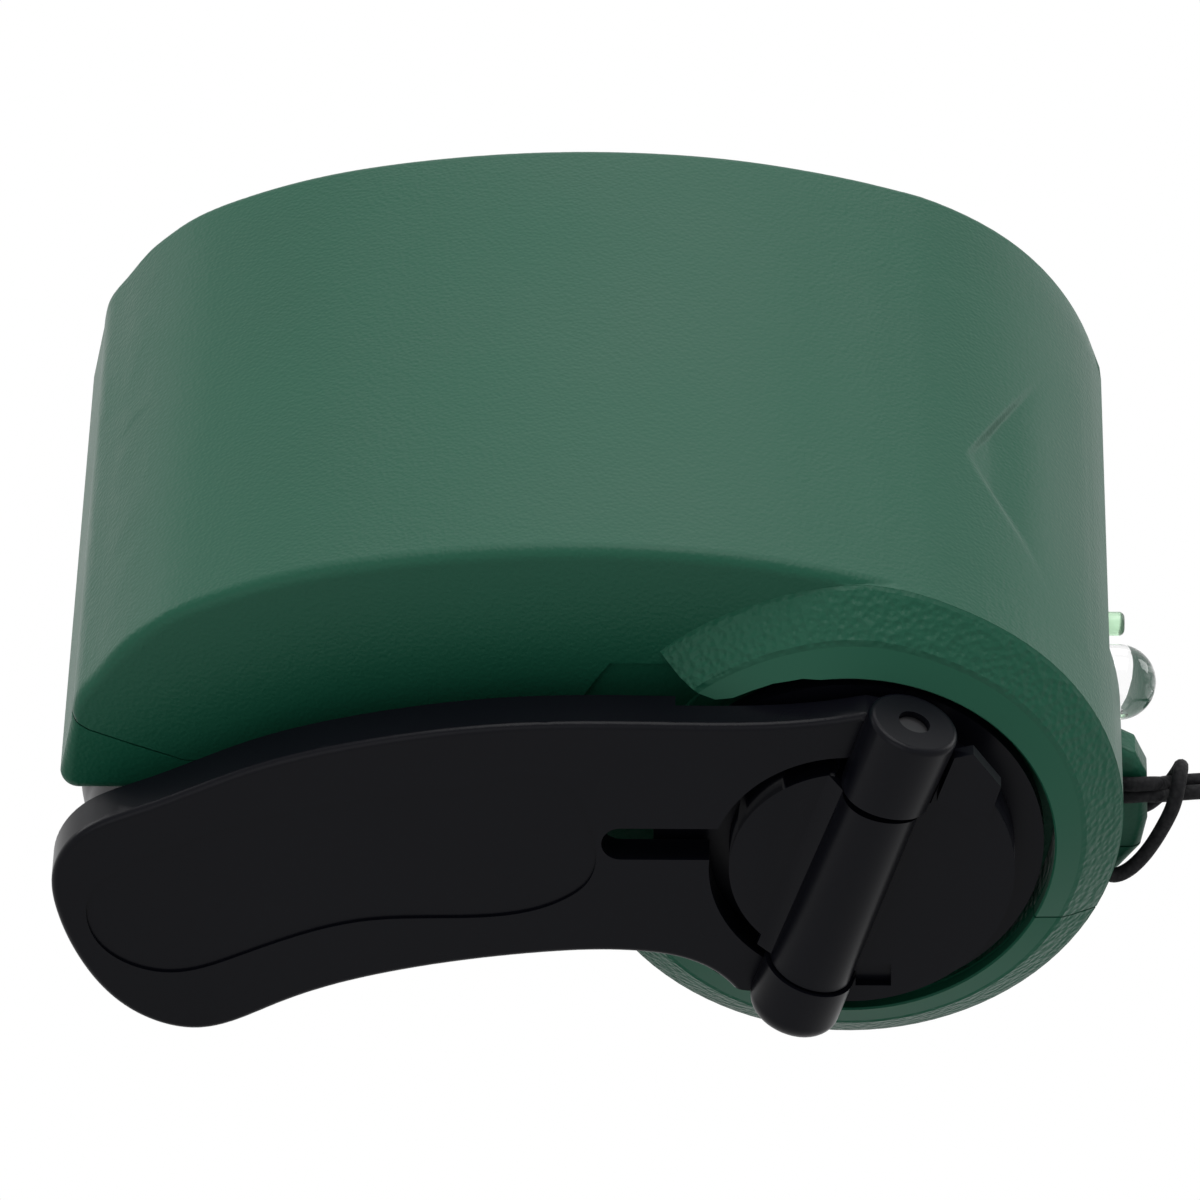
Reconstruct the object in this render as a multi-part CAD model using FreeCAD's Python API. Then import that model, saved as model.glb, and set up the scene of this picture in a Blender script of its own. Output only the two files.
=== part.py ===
# Hand crank phone charger: two moulded shells round a gear train and a small generator, with a
# folding crank on the round hub. Millimetres. The shapes are drawn about the crank's axis: X to
# the right, Y back from the crank's disc, Z up. stand() then puts the part on its feet.
import FreeCAD, Part
import math
import os

V = FreeCAD.Vector
AXIS_Y = V(0, 1, 0)

# housing
hub_r = 17.8
wall = 2.0
front_y = 6.0
depth = 46.0
shell_length = 51.0
crown_z = 21.0
under_z = 1.5
end_lean = 0.5
end_top_z = 7.4
end_corner_r = 1.2
heel_drop = 3.6
edge_round = 0.9
parting_gap = 0.12
parting_right = [(12.5, -5.9), (14.5, -6.9), (16.1, -7.5), (30.0, -7.5)]
hub_leave_deg = 217.5
crown_leave_deg = 78.0
# how far the arch lies under its top, at shares of the housing's length
crown_drops = [(0.10, 1.15), (0.25, 0.15), (0.40, 0.07), (0.56, 0.8), (0.70, 2.2), (0.80, 3.95),
               (0.885, 6.45), (0.952, 10.3)]
# collar and well round the crank
well_r = 13.5
rim_y = 2.5
rim_flat_w = 1.9
rim_flat_y = 3.7
collar_cut_top = 12.0
collar_cut_low = -8.0
sweep_r = 19.5
sweep_depth = 0.4
# flat facet on the hub's shoulder: chord between two angles, and its outline (along the chord, y)
facet_from_deg = 65.7
facet_to_deg = 34.2
facet_outline = [(0.0, 23.1), (5.3, 14.9), (9.7, 16.4), (9.7, 39.5), (4.4, 34.2)]
# crank disc
disc_r = 10.7
disc_small_r = 7.7
disc_t = 3.0
flange_r = 12.6
flange_t = 1.3
disc_boss_r = 5.0
disc_floor_gap = 0.5
# fold hinge
hinge_lean_deg = 18.5
hinge_y = -0.6
barrel_r = 2.75
barrel_low = -7.6
barrel_top = 6.8
knuckle_r = 3.0
knuckle_gap = 0.2
knuckle_top_end = 13.0
knuckle_low_end = -12.0
pin_r = 1.0
pin_fit = 0.05
# arm
arm_drawn_x = -45.0
arm_t = 3.2
arm_hub_t = 2.2
arm_thin_r = 16.0
arm_cut_r = 9.0
arm_round = 0.45
slot_w = 2.5
slot_end_x = -15.9
slot_z = 2.0
pad_depth = 0.2
# knob
knob_inset = 6.0
knob_z = -6.2
knob_r = 5.4
knob_waist_r = 4.9
knob_len = 15.5
knob_gap = 0.35
knob_bore_r = 2.1
screw_fit = 0.05
knob_boss_r = 3.0
knob_boss_t = 1.4
knob_niche_gap = 1.5
rest_pad_w = 3.0
rest_pad_t = 1.0
rest_pad_back = 1.8
rest_pad_gap = 0.4
# drive
shaft_r = 2.5
run_fit = 0.05
bush_wall = 1.2
bush_t = 4.0
module_mm = 0.5
drive_teeth = 52
idler_pinion_teeth = 12
idler_1_teeth = 44
idler_2_teeth = 32
rotor_teeth = 10
gear_layer_y = 11.0
layer_t = 3.2
layer_gap = 1.0
idler_1_turn_deg = 170.0
idler_2_turn_deg = 153.0
rotor_turn_deg = -14.0
backlash = 0.14
centre_play = 0.06
axle_r = 1.25
# gear plate and generator
plate_y = 26.0
plate_t = 2.0
plate_fit = 0.25
rib_w = 1.3
rib_t = 1.1
can_r = 12.0
can_end_gap = 1.55
cap_nose = 1.4
can_wall = 0.8
magnet_t = 2.2
air_gap = 0.4
rotor_shaft_r = 1.0
# board, socket, lamp
board_z = -4.5
board_t = 1.4
end_flat_in = 0.8
usb_back_gap = 2.4
usb_w = 13.2
usb_h = 5.7
usb_len = 14.0
usb_sheet = 0.4
usb_tongue_t = 1.9
board_end_gap = 2.8
led_y = 21.4
led_z = -0.7
led_r = 2.5
led_out = 3.25
led_len = 8.0
indicator_y = 27.9
indicator_r = 0.8
indicator_out = 1.3
pipe_len = 5.2
# lanyard eye and cord
eye_y = 14.0
eye_w = 3.0
eye_low = -9.4
eye_top = 0.3
eye_out = 1.8
eye_round = 0.8
eye_hole = 2.3
eye_mid_z = -3.9
cord_d = 1.0
coil_r = 6.6
coil_h = 4.0
coil_turns_w = 3.2
knot_r = 1.6
# housing screws: x, y of each axis
screw_r = 1.2
screw_head_r = 2.3
screw_boss_r = 3.3
screw_seat = 3.2
screw_len = 7.5
pilot_spare = 0.4
hub_screw = (7.0, 20.9)
end_screw_inset = 7.0
end_screw_front = 8.0
end_screw_back = 10.0

back_y = front_y + depth
knob_x = -shell_length + knob_inset
end_flat_x = hub_r - end_flat_in
usb_y = back_y - wall - usb_back_gap - usb_w / 2
knob_start_y = arm_t + knob_boss_t + knob_gap
knob_end_y = knob_start_y + knob_len
niche_r = math.hypot(knob_x, knob_z) - knob_r - knob_niche_gap
hinge_dir = V(math.sin(math.radians(hinge_lean_deg)), 0, math.cos(math.radians(hinge_lean_deg)))
hinge_side = V(hinge_dir.z, 0, -hinge_dir.x)
pieces = {}


def polar(r, deg, y=0.0):
    return V(r * math.cos(math.radians(deg)), y, r * math.sin(math.radians(deg)))


def rod(r, y0, y1, x=0.0, z=0.0):
    return Part.makeCylinder(r, y1 - y0, V(x, y0, z), AXIS_Y)


def tube(r_out, r_in, y0, y1, x=0.0, z=0.0):
    return rod(r_out, y0, y1, x, z).cut(rod(r_in, y0 - 1, y1 + 1, x, z))


def box(x0, x1, y0, y1, z0, z1):
    return Part.makeBox(x1 - x0, y1 - y0, z1 - z0, V(x0, y0, z0))


def prism(points, y0, y1):
    ring = [V(x, y0, z) for x, z in points]
    return Part.Face(Part.makePolygon(ring + ring[:1])).extrude(V(0, y1 - y0, 0))


def turned(profile, x=0.0, z=0.0):
    """A solid of revolution about Y; the profile is (radius, y)."""
    ring = [V(x + r, y, z) for r, y in profile]
    face = Part.Face(Part.makePolygon(ring + ring[:1]))
    return face.revolve(V(x, 0, z), AXIS_Y, 360)


def along_hinge(r, s0, s1):
    start = V(0, hinge_y, 0) + hinge_dir * s0
    return Part.makeCylinder(r, s1 - s0, start, hinge_dir)


def beside_hinge(sign, reach=80.0):
    """The half space to one side of the hinge line, as a big block."""
    side = hinge_side * sign * reach
    ring = [hinge_dir * -reach, hinge_dir * reach, hinge_dir * reach + side, hinge_dir * -reach + side]
    ring = [p - V(0, reach, 0) for p in ring]
    return Part.Face(Part.makePolygon(ring + ring[:1])).extrude(V(0, 2 * reach, 0))


def spline_face(points, y, closed=True):
    curve = Part.BSplineCurve()
    curve.interpolate([V(x, y, z) for x, z in points], PeriodicFlag=closed)
    return Part.Face(Part.Wire([curve.toShape()]))


# ---------------------------------------------------------------- housing
def crown_curve(y, inset):
    """The long arch from the hub's circle to the left wall, and its end points."""
    left_top = V(-shell_length + end_lean, y, end_top_z)
    points = [polar(hub_r, crown_leave_deg, y)]
    points += [V(-share * shell_length, y, crown_z - drop) for share, drop in crown_drops] + [left_top]
    start_way = polar(1, crown_leave_deg + 90)
    end_way = V(-end_lean, 0, under_z + end_corner_r - end_top_z).normalize()
    curve = Part.BSplineCurve()
    curve.interpolate(points, InitialTangent=start_way, FinalTangent=end_way)
    if inset:
        count = 12
        at = [curve.FirstParameter + (curve.LastParameter - curve.FirstParameter) * k / count
              for k in range(count + 1)]
        moved = []
        for u in at:
            way = curve.tangent(u)[0]
            moved.append(curve.value(u) + V(-way.z, 0, way.x) * inset)
        curve = Part.BSplineCurve()
        curve.interpolate(moved, InitialTangent=start_way, FinalTangent=end_way)
    return curve


def outline_face(y, inset=0.0):
    """The housing seen along Y, drawn inset from its outside: hub, crown, left end, knob's niche."""
    r, floor_z = hub_r - inset, under_z + inset
    crown = crown_curve(y, inset)
    hub_top, left_top = crown.value(crown.FirstParameter), crown.value(crown.LastParameter)
    corner_r = max(end_corner_r - inset, 0.4)
    slope = end_lean / (end_top_z - under_z - end_corner_r)
    low_z = floor_z + corner_r
    left_low = V(left_top.x - slope * (left_top.z - low_z), y, low_z)
    corner_mid = V(left_low.x + corner_r * 0.293, y, floor_z + corner_r * 0.293)
    under_left = V(left_low.x + corner_r, y, floor_z)
    ring_r = niche_r - inset
    niche_top = V(-math.sqrt(ring_r**2 - floor_z**2), y, floor_z)
    niche_mid, niche_low = polar(ring_r, 183, y), polar(ring_r, 189, y)
    heel, hub_low = heel_line(y)
    up = V(heel.z - hub_low.z, 0, hub_low.x - heel.x).normalize()
    heel = heel + up * inset + V(inset * 0.45, 0, 0)
    heel_mid = (niche_low + heel) * 0.5 + V(-0.85, 0, -0.85)
    hub_low = meet_circle(heel, hub_low + up * inset, r)
    edges = [
        Part.Arc(hub_low, polar(r, -30, y), hub_top).toShape(),
        crown.toShape(),
        Part.makeLine(left_top, left_low),
        Part.Arc(left_low, corner_mid, under_left).toShape(),
        Part.makeLine(under_left, niche_top),
        Part.Arc(niche_top, niche_mid, niche_low).toShape(),
        Part.Arc(niche_low, heel_mid, heel).toShape(),
        Part.makeLine(heel, hub_low),
    ]
    return Part.Face(Part.Wire(edges))


def heel_line(y):
    """The ends of the flat stretch under the housing, from the niche's corner to the hub."""
    niche_low = polar(niche_r, 189, y)
    return niche_low + V(heel_drop, 0, -heel_drop), polar(hub_r, hub_leave_deg - 360, y)


def meet_circle(start, through, r):
    """Where the line from start through another point first meets the circle about the hub."""
    way = (through - start).normalize()
    flat = V(start.x, 0, start.z)
    b, c = flat.dot(way), flat.dot(flat) - r * r
    return start + way * (-b - math.sqrt(b * b - c))


def collar():
    """The raised ring round the well, with a sloping outer flank."""
    flat_r = well_r + rim_flat_w
    ring = [(well_r, rim_y), (flat_r, rim_flat_y), (hub_r, front_y), (hub_r, front_y + wall),
            (well_r, front_y + wall)]
    cut = box(-hub_r - 5, 0, -1, front_y, collar_cut_low, collar_cut_top)
    return turned(ring).cut(cut)


def sweep_recess():
    """The shallow step that clears the turning arm, left of the collar."""
    ring = tube(sweep_r, well_r, front_y - 1, front_y + sweep_depth)
    return ring.common(box(-sweep_r - 1, -1, front_y - 2, front_y + 2, collar_cut_low, collar_cut_top))


def shoulder_facet():
    """What a flat V-shaped facet takes off the hub's round shoulder."""
    start, end = polar(hub_r, facet_from_deg), polar(hub_r, facet_to_deg)
    along = (end - start).normalize()
    ring = [start + along * s + V(0, y, 0) for s, y in facet_outline]
    out = V(-along.z, 0, along.x)
    return Part.Face(Part.makePolygon(ring + ring[:1])).extrude(out * wall)


def boss_places():
    """Idler axle positions (x, z), worked out from the gears' pitch radii."""
    def step(a, b):
        return module_mm * (a + b) / 2 + centre_play
    one = polar(step(drive_teeth, idler_pinion_teeth), idler_1_turn_deg)
    two = one + polar(step(idler_1_teeth, idler_pinion_teeth), idler_2_turn_deg)
    rotor = two + polar(step(idler_2_teeth, rotor_teeth), rotor_turn_deg)
    return one, two, rotor


def end_openings():
    """What the right wall lets through: the flat, the socket, the lamp, the indicator, the cord."""
    far = hub_r + 5
    flat = box(end_flat_x, far, eye_y + eye_w, back_y - 3, -9, 9)
    socket_top = board_z + board_t + usb_h + 0.2
    socket = box(5, far, usb_y - usb_w / 2 - 0.2, usb_y + usb_w / 2 + 0.2, board_z + board_t - 0.2, socket_top)
    lamp = Part.makeCylinder(led_r + 0.1, 12, V(end_flat_x - led_len, led_y, led_z), V(1, 0, 0))
    indicator = Part.makeCylinder(indicator_r + 0.1, 12, V(end_flat_x - led_len, indicator_y, led_z), V(1, 0, 0))
    cord_way = box(hub_r - 0.2 - eye_hole, hub_r - 0.2, eye_y - eye_w, eye_y + eye_w, -6.2, -1.8)
    return [flat, socket, lamp, indicator, cord_way]


def lanyard_eye():
    """A bar that stands off the right wall, over the notch that the cord goes through."""
    outer = hub_r + eye_out
    ring = [(hub_r - 3.0, eye_low), (hub_r + 0.1, eye_low), (outer - 0.4, eye_low + 1.7), (outer, -5.6),
            (outer - 0.1, -2.0), (hub_r + 0.9, eye_top - 0.5), (hub_r, eye_top), (hub_r - 3.0, eye_top)]
    bar = prism(ring, eye_y - eye_w / 2, eye_y + eye_w / 2)
    long_edges = [e for e in bar.Edges if e.BoundBox.XMin > hub_r - 1 and e.BoundBox.YLength < 0.01]
    return bar.makeFillet(eye_round, long_edges)


def parting_block(lift):
    """Everything under the parting surface, which runs straight back along Y."""
    left = [(shell_length + 9, 8.2), (shell_length - 0.8, 8.2), (shell_length - 2.0, 6.75),
            (shell_length - 4.8, 5.3), (shell_length - 8.1, 4.1), (shell_length - 15.5, 3.8)]
    line = [(-x, z) for x, z in left] + parting_right
    far = parting_right[-1][0]
    return prism([(x, z + lift) for x, z in line] + [(far, -40), (-shell_length - 9, -40)], -20, back_y + 20)


def screw_column(x, y, low, split, top):
    """(boss, the cuts in it) for one screw that comes up from below."""
    start = low if split < 0 else split + parting_gap / 2
    boss = Part.makeCylinder(screw_boss_r, top - start, V(x, y, start))
    pilot = Part.makeCylinder(screw_r + 0.02, screw_len - screw_seat + pilot_spare, V(x, y, split))
    return boss, screw_way(x, y, low - 5, split) + [pilot]


def screw_way(x, y, low, split):
    """The counterbore for the head and the clear hole above it."""
    head = Part.makeCylinder(screw_head_r + 0.15, split - screw_seat - low, V(x, y, low))
    clear = Part.makeCylinder(screw_r + 0.15, screw_seat + 0.1, V(x, y, split - screw_seat - 0.1))
    return [head, clear]


def screw_places():
    """(x, y, low end of the boss, height where its two halves meet) of each housing screw."""
    found = [(hub_screw[0], hub_screw[1], -hub_r, -4.1)]
    x = -shell_length + end_screw_inset
    return found + [(x, y, under_z - 4, 7.4) for y in (front_y + end_screw_front, back_y - end_screw_back)]


def housing():
    body = outline_face(front_y).extrude(V(0, depth, 0))
    body = rounded_ends(body)
    body = body.fuse(collar()).fuse(lanyard_eye())
    cavity = outline_face(front_y + wall, wall).extrude(V(0, depth - 2 * wall, 0))
    body = body.cut(cavity)
    body = body.cut(rod(well_r, -1, front_y))
    inside = cavity_trim()
    adds = [inside(ring) for ring in plate_ribs()]
    for axle in boss_places()[:2]:
        adds.append(tube(axle_r + 1.4, axle_r + 0.02, front_y + wall - 0.5, gear_layer_y - 0.6, axle.x, axle.z))
    cuts = [rod(shaft_r + run_fit + bush_wall + 0.02, front_y - 1, front_y + wall + 1)] + end_openings()
    cuts += [sweep_recess(), shoulder_facet()]
    for x, y, low, split in screw_places():
        boss, holes = screw_column(x, y, low, split, crown_z)
        adds.append(inside(boss))
        cuts += holes
    for a in adds:
        body = body.fuse(a)
    for c in cuts:
        body = body.cut(c)
    return body


def rounded_ends(body):
    """Rounds the long edges at the back, and the crown's edge at the front."""
    def above_niche(at_y):
        return [e for e in body.Edges if abs(e.CenterOfMass.y - at_y) < 1e-4 and e.BoundBox.ZMax > under_z + 0.5]
    front = [e for e in above_niche(front_y) if e.BoundBox.XMax < hub_r / 2]
    return body.makeFillet(edge_round, above_niche(back_y) + front)


def cavity_trim():
    core = outline_face(front_y + wall, wall - 0.3).extrude(V(0, depth - 2 * wall, 0))
    return lambda shape: shape.common(core)


def plate_ribs():
    """Two narrow ledges inside the shells that hold the gear plate between them."""
    ring = outline_face(0).extrude(V(0, rib_t, 0)).cut(outline_face(0, wall + rib_w).extrude(V(0, rib_t, 0)))
    ring = ring.cut(box(-shell_length - 5, -niche_r + rib_w + wall + 0.9, -1, rib_t + 1, -hub_r, under_z + wall + 3))
    before = ring.translated(V(0, plate_y - 0.1 - rib_t, 0))
    after = ring.translated(V(0, plate_y + plate_t + 0.1, 0))
    rotor = boss_places()[2]
    return [before, after.cut(rod(can_r + 0.3, plate_y, back_y, rotor.x, rotor.z))]


def make_shells():
    whole = housing()
    low, high = parting_block(-parting_gap / 2), parting_block(parting_gap / 2)
    upper, lower = whole.cut(high), whole.common(low)
    for x, y, start, split in screw_places():
        if split > 0:
            post = Part.makeCylinder(screw_boss_r, split - under_z - 0.2, V(x, y, under_z + 0.2))
            for way in screw_way(x, y, 0, split):
                post = post.cut(way)
            lower = lower.fuse(post)
    lower = lower.fuse(rest_pad())
    pieces["upper_shell"] = upper.removeSplitter()
    pieces["lower_shell"] = lower.removeSplitter()


def rest_pad():
    """The stop under the left end, which the tip of the folded knob lies against."""
    y = knob_end_y - rest_pad_back
    return box(knob_x - rest_pad_w / 2, knob_x + rest_pad_w / 2, y, y + rest_pad_t,
               knob_z + knob_r + rest_pad_gap, under_z + wall / 2)


# ---------------------------------------------------------------- crank
def make_crank_disc():
    big = rod(disc_r, 0, disc_t).common(beside_hinge(1))
    small = rod(disc_small_r, 0, disc_t).common(beside_hinge(-1))
    flange = rod(flange_r, disc_t, disc_t + flange_t)
    boss = rod(disc_boss_r, disc_t + flange_t, front_y - disc_floor_gap)
    barrel = along_hinge(barrel_r, barrel_low, barrel_top)
    web = box(-barrel_r - 0.9, barrel_r, hinge_y, 0.5, barrel_low, barrel_top)
    web = web.common(turned_wedge())
    web.rotate(V(0, 0, 0), AXIS_Y, hinge_lean_deg)
    fin = prism([(5.6, 6.2), (8.8, 4.3), (9.7, 7.4), (7.9, 10.0), (6.4, 9.6)], -0.9, 0.1)
    disc = big.fuse([small, flange, boss, fin, barrel, web])
    for s0, s1 in ((barrel_top, knuckle_top_end + 1), (knuckle_low_end - 1, barrel_low)):
        disc = disc.cut(along_hinge(knuckle_r + 0.3, s0, s1))
    disc = disc.cut(along_hinge(pin_r + 0.02, -20, 20))
    disc = disc.cut(rod(shaft_r + 0.02, 1.4, 10))
    pocket = box(0.5, 2.8, -1, 0.6, -9.4, -7.7)
    disc = disc.cut(pocket)
    pieces["crank_disc"] = disc.removeSplitter()


def turned_wedge():
    """Slopes the web's left flank down from the barrel to the disc."""
    ring = [(-barrel_r - 0.9, 0.5), (barrel_r, 0.5), (barrel_r, hinge_y), (-barrel_r, hinge_y), (-barrel_r - 0.9, 0.0)]
    pts = [V(x, y, -20) for x, y in ring]
    return Part.Face(Part.makePolygon(pts + pts[:1])).extrude(V(0, 0, 40))


def arm_outline():
    """The arm's outer edge, from the top knuckle round the knob's end to the lower knuckle."""
    top = [(1.0, 12.4), (-6.3, 11.5), (-14.5, 11.55), (-22.5, 11.3), (-31.0, 10.0), (-38.5, 7.8)]
    end = [(-0.5, 4.6), (-4.4, 2.6), (-6.3, -0.7), (-6.1, -3.9), (-4.8, -7.6), (-1.2, -12.1), (2.7, -13.35)]
    under = [(-37.0, -11.3), (-29.3, -8.6), (-20.5, -7.1), (-13.9, -6.85), (-10.2, -7.6), (-7.4, -9.75)]
    share = knob_x / arm_drawn_x
    return ([(x * share, z) for x, z in top] + [(knob_x + x, z) for x, z in end]
            + [(x * share, z) for x, z in under])


def make_arm():
    curve = Part.BSplineCurve()
    edge_points = [V(x, 0, z) for x, z in arm_outline()]
    curve.interpolate(edge_points)
    first, last = edge_points[0], edge_points[-1]
    tail = [last, hinge_dir * (knuckle_low_end + 1.2), hinge_dir * (knuckle_top_end - 0.6), first]
    wire = Part.Wire([curve.toShape()] + [Part.makeLine(a, b) for a, b in zip(tail, tail[1:])])
    plate = Part.Face(wire).extrude(AXIS_Y * arm_t)
    plate = rounded_rim(plate)
    thin = rod(arm_thin_r, arm_hub_t, arm_t + 1)
    plate = plate.cut(thin).cut(rod(arm_cut_r, -5, 10))
    slot = rod(slot_w / 2, -5, 10, slot_end_x + slot_w / 2, slot_z)
    slot = slot.fuse(box(slot_end_x + slot_w / 2, -arm_cut_r + 2, -5, 10, slot_z - slot_w / 2, slot_z + slot_w / 2))
    plate = plate.cut(slot)
    plate = plate.cut(arm_pad())
    low = along_hinge(knuckle_r, knuckle_low_end, barrel_low - knuckle_gap)
    top = along_hinge(knuckle_r, barrel_top + knuckle_gap, knuckle_top_end)
    end_edge = [e for e in low.Edges if e.BoundBox.ZMax < knuckle_low_end * hinge_dir.z + 1.2]
    low = low.makeFillet(1.3, end_edge[:1])
    end_edge = [e for e in top.Edges if e.BoundBox.ZMin > knuckle_top_end * hinge_dir.z - 1.2]
    top = top.makeFillet(0.4, end_edge[:1])
    arm = plate.cut(along_hinge(barrel_r + 0.6, barrel_low - knuckle_gap, barrel_top + knuckle_gap))
    arm = arm.fuse([low, top, rod(knob_boss_r, arm_t - 0.5, arm_t + knob_boss_t, knob_x, knob_z)])
    arm = arm.cut(along_hinge(pin_r + pin_fit, -20, 20))
    arm = arm.cut(rod(screw_r + 0.02, 1.2, 10, knob_x, knob_z))
    arm = arm.cut(flange_clearance())
    pieces["crank_arm"] = arm.removeSplitter()


def arm_pad():
    """The shallow panel let into the arm's front."""
    ring = [(-49.2, -3.6), (-47.4, -7.4), (-43.9, -8.6), (-39.8, -7.4), (-31.0, -4.3), (-18.3, -2.5),
            (-17.0, -1.4), (-17.0, 4.8), (-18.4, 7.1), (-23.3, 6.9), (-33.6, 5.0), (-43.9, 1.5), (-48.5, -1.7)]
    share = knob_x / arm_drawn_x
    return spline_face([(x * share, z) for x, z in ring], -0.01).extrude(AXIS_Y * pad_depth)


def rounded_rim(plate):
    """Rounds the long outer edge of the arm's front face."""
    rim = [e for e in plate.Edges if e.BoundBox.YMax < 1e-3 and e.BoundBox.XLength > 30]
    return plate.makeFillet(arm_round, rim)


def flange_clearance():
    """Keeps the arm's back off the disc's flange."""
    return rod(flange_r + 0.5, disc_t - 0.4, 20)


def make_hinge_pin():
    pieces["hinge_pin"] = along_hinge(pin_r, knuckle_low_end + 1.5, knuckle_top_end - 0.4)


def make_knob():
    start, end = knob_start_y, knob_end_y
    skirt = arm_t + knob_gap
    profile = [(knob_boss_r + 0.5, skirt), (knob_r, skirt), (knob_r, start + 2), (knob_waist_r, start + 5),
               (knob_waist_r, end - 6.5), (knob_r, end - 3.5), (knob_r, end - 0.8), (knob_r - 0.8, end),
               (4.0, end), (4.0, end - 2.4), (knob_bore_r, end - 2.4), (knob_bore_r, start), (knob_boss_r + 0.5, start)]
    pieces["knob"] = turned(profile, knob_x, knob_z)
    neck = knob_bore_r - screw_fit
    head_y = end - 2.4 + 0.3
    boss_y = arm_t + knob_boss_t
    screw = [(0, 2.0), (screw_r, 2.0), (screw_r, boss_y), (neck, boss_y), (neck, head_y), (3.4, head_y),
             (3.4, head_y + 1.0), (2.4, head_y + 1.6), (0, head_y + 1.6)]
    cross = box(-0.35, 0.35, head_y + 0.8, head_y + 3, -1.6, 1.6)
    cross = cross.fuse(box(-1.6, 1.6, head_y + 0.8, head_y + 3, -0.35, 0.35))
    pieces["knob_screw"] = turned(screw, knob_x, knob_z).cut(cross.translated(V(knob_x, 0, knob_z)))


# ---------------------------------------------------------------- gears
def tooth_half_angle(teeth, r):
    """Half a tooth's angle at radius r, on the involute of a 20 degree rack."""
    pitch_r = module_mm * teeth / 2
    base_r = pitch_r * math.cos(math.radians(20))

    def inv(radius):
        a = math.acos(min(1.0, base_r / radius))
        return math.tan(a) - a
    at_pitch = math.pi / (2 * teeth) - backlash / (2 * pitch_r)
    return at_pitch + inv(pitch_r) - inv(max(r, base_r))


def gear(teeth, y0, y1, centre, phase, bore):
    pitch_r = module_mm * teeth / 2
    radii = [pitch_r - 1.3 * module_mm, pitch_r - 0.4 * module_mm, pitch_r + 0.3 * module_mm,
             pitch_r + 0.9 * module_mm]
    ring = []
    for k in range(teeth):
        mid = phase + 2 * math.pi * k / teeth
        half = [tooth_half_angle(teeth, r) for r in radii]
        sides = [(r, mid - h) for r, h in zip(radii, half)] + [(r, mid + h) for r, h in zip(radii[::-1], half[::-1])]
        ring += [(centre.x + r * math.cos(a), centre.z + r * math.sin(a)) for r, a in sides]
    return prism(ring, y0, y1).cut(rod(bore, y0 - 1, y1 + 1, centre.x, centre.z))


def mate_phase(phase, teeth, mate_teeth, turn_deg):
    """The mate's phase that puts its gap at this gear's tooth, across the line of centres."""
    toward = math.radians(turn_deg)
    p1 = (toward - phase) * teeth / (2 * math.pi)
    return toward + math.pi - 2 * math.pi / mate_teeth * (0.5 - p1)


def make_gears():
    one, two, rotor = boss_places()
    step = layer_t + layer_gap
    y = [gear_layer_y + k * step for k in range(3)]
    hub = V(0, 0, 0)
    drive = gear(drive_teeth, y[0], y[0] + layer_t, hub, 0.0, shaft_r + 0.02)
    boss = tube(shaft_r + 1.4, shaft_r + 0.02, y[0] + layer_t - 0.1, y[0] + layer_t + 2.5)
    pieces["drive_gear"] = drive.cut(lightening(hub, drive_teeth, 6, y[0])).fuse(boss)
    p1 = mate_phase(0.0, drive_teeth, idler_pinion_teeth, idler_1_turn_deg)
    pinion_1 = gear(idler_pinion_teeth, y[0], y[1] + 0.1, one, p1, axle_r + run_fit)
    wheel_1 = gear(idler_1_teeth, y[1], y[1] + layer_t, one, 0.0, axle_r + run_fit)
    pieces["idler_gear_1"] = wheel_1.cut(lightening(one, idler_1_teeth, 5, y[1])).fuse(pinion_1)
    p2 = mate_phase(0.0, idler_1_teeth, idler_pinion_teeth, idler_2_turn_deg)
    pinion_2 = gear(idler_pinion_teeth, y[1], y[2] + 0.1, two, p2, axle_r + run_fit)
    wheel_2 = gear(idler_2_teeth, y[2], y[2] + layer_t, two, 0.0, axle_r + run_fit)
    pieces["idler_gear_2"] = wheel_2.fuse(pinion_2)
    p3 = mate_phase(0.0, idler_2_teeth, rotor_teeth, rotor_turn_deg)
    pieces["rotor_pinion"] = gear(rotor_teeth, y[2] - 0.4, y[2] + layer_t + 0.3, rotor, p3, rotor_shaft_r + 0.02)
    axles = [rod(axle_r, front_y + wall, plate_y + plate_t - 0.4, a.x, a.z) for a in (one, two)]
    pieces["idler_axles"] = Part.makeCompound(axles)


def lightening(centre, teeth, count, y):
    """A ring of round holes in a wheel's web."""
    pitch_r = module_mm * teeth / 2
    middle, r = pitch_r * 0.62, pitch_r * 0.19
    holes = [centre + polar(middle, 360.0 * (k + 0.5) / count) for k in range(count)]
    return Part.makeCompound([rod(r, y - 1, y + layer_t + 1, h.x, h.z) for h in holes])


def make_shaft():
    shaft = rod(shaft_r, 1.6, plate_y + plate_t - 0.1)
    groove_y = gear_layer_y + layer_t + 2.7
    shaft = shaft.cut(tube(shaft_r + 1, shaft_r - 0.5, groove_y, groove_y + 0.9))
    pieces["crank_shaft"] = shaft
    clip = tube(shaft_r + 1.6, shaft_r - 0.45, groove_y + 0.1, groove_y + 0.8)
    pieces["shaft_clip"] = clip.cut(box(0, 6, groove_y, groove_y + 1, -1.3, 1.3))
    bore = shaft_r + run_fit
    front = tube(bore + bush_wall, bore, front_y + 0.1, front_y + bush_t)
    pieces["front_bush"] = front.fuse(tube(bore + bush_wall + 1.3, bore, front_y + wall + 0.05, front_y + wall + 1.2))
    pieces["rear_bush"] = tube(bore + bush_wall, bore, plate_y, plate_y + plate_t)


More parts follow.
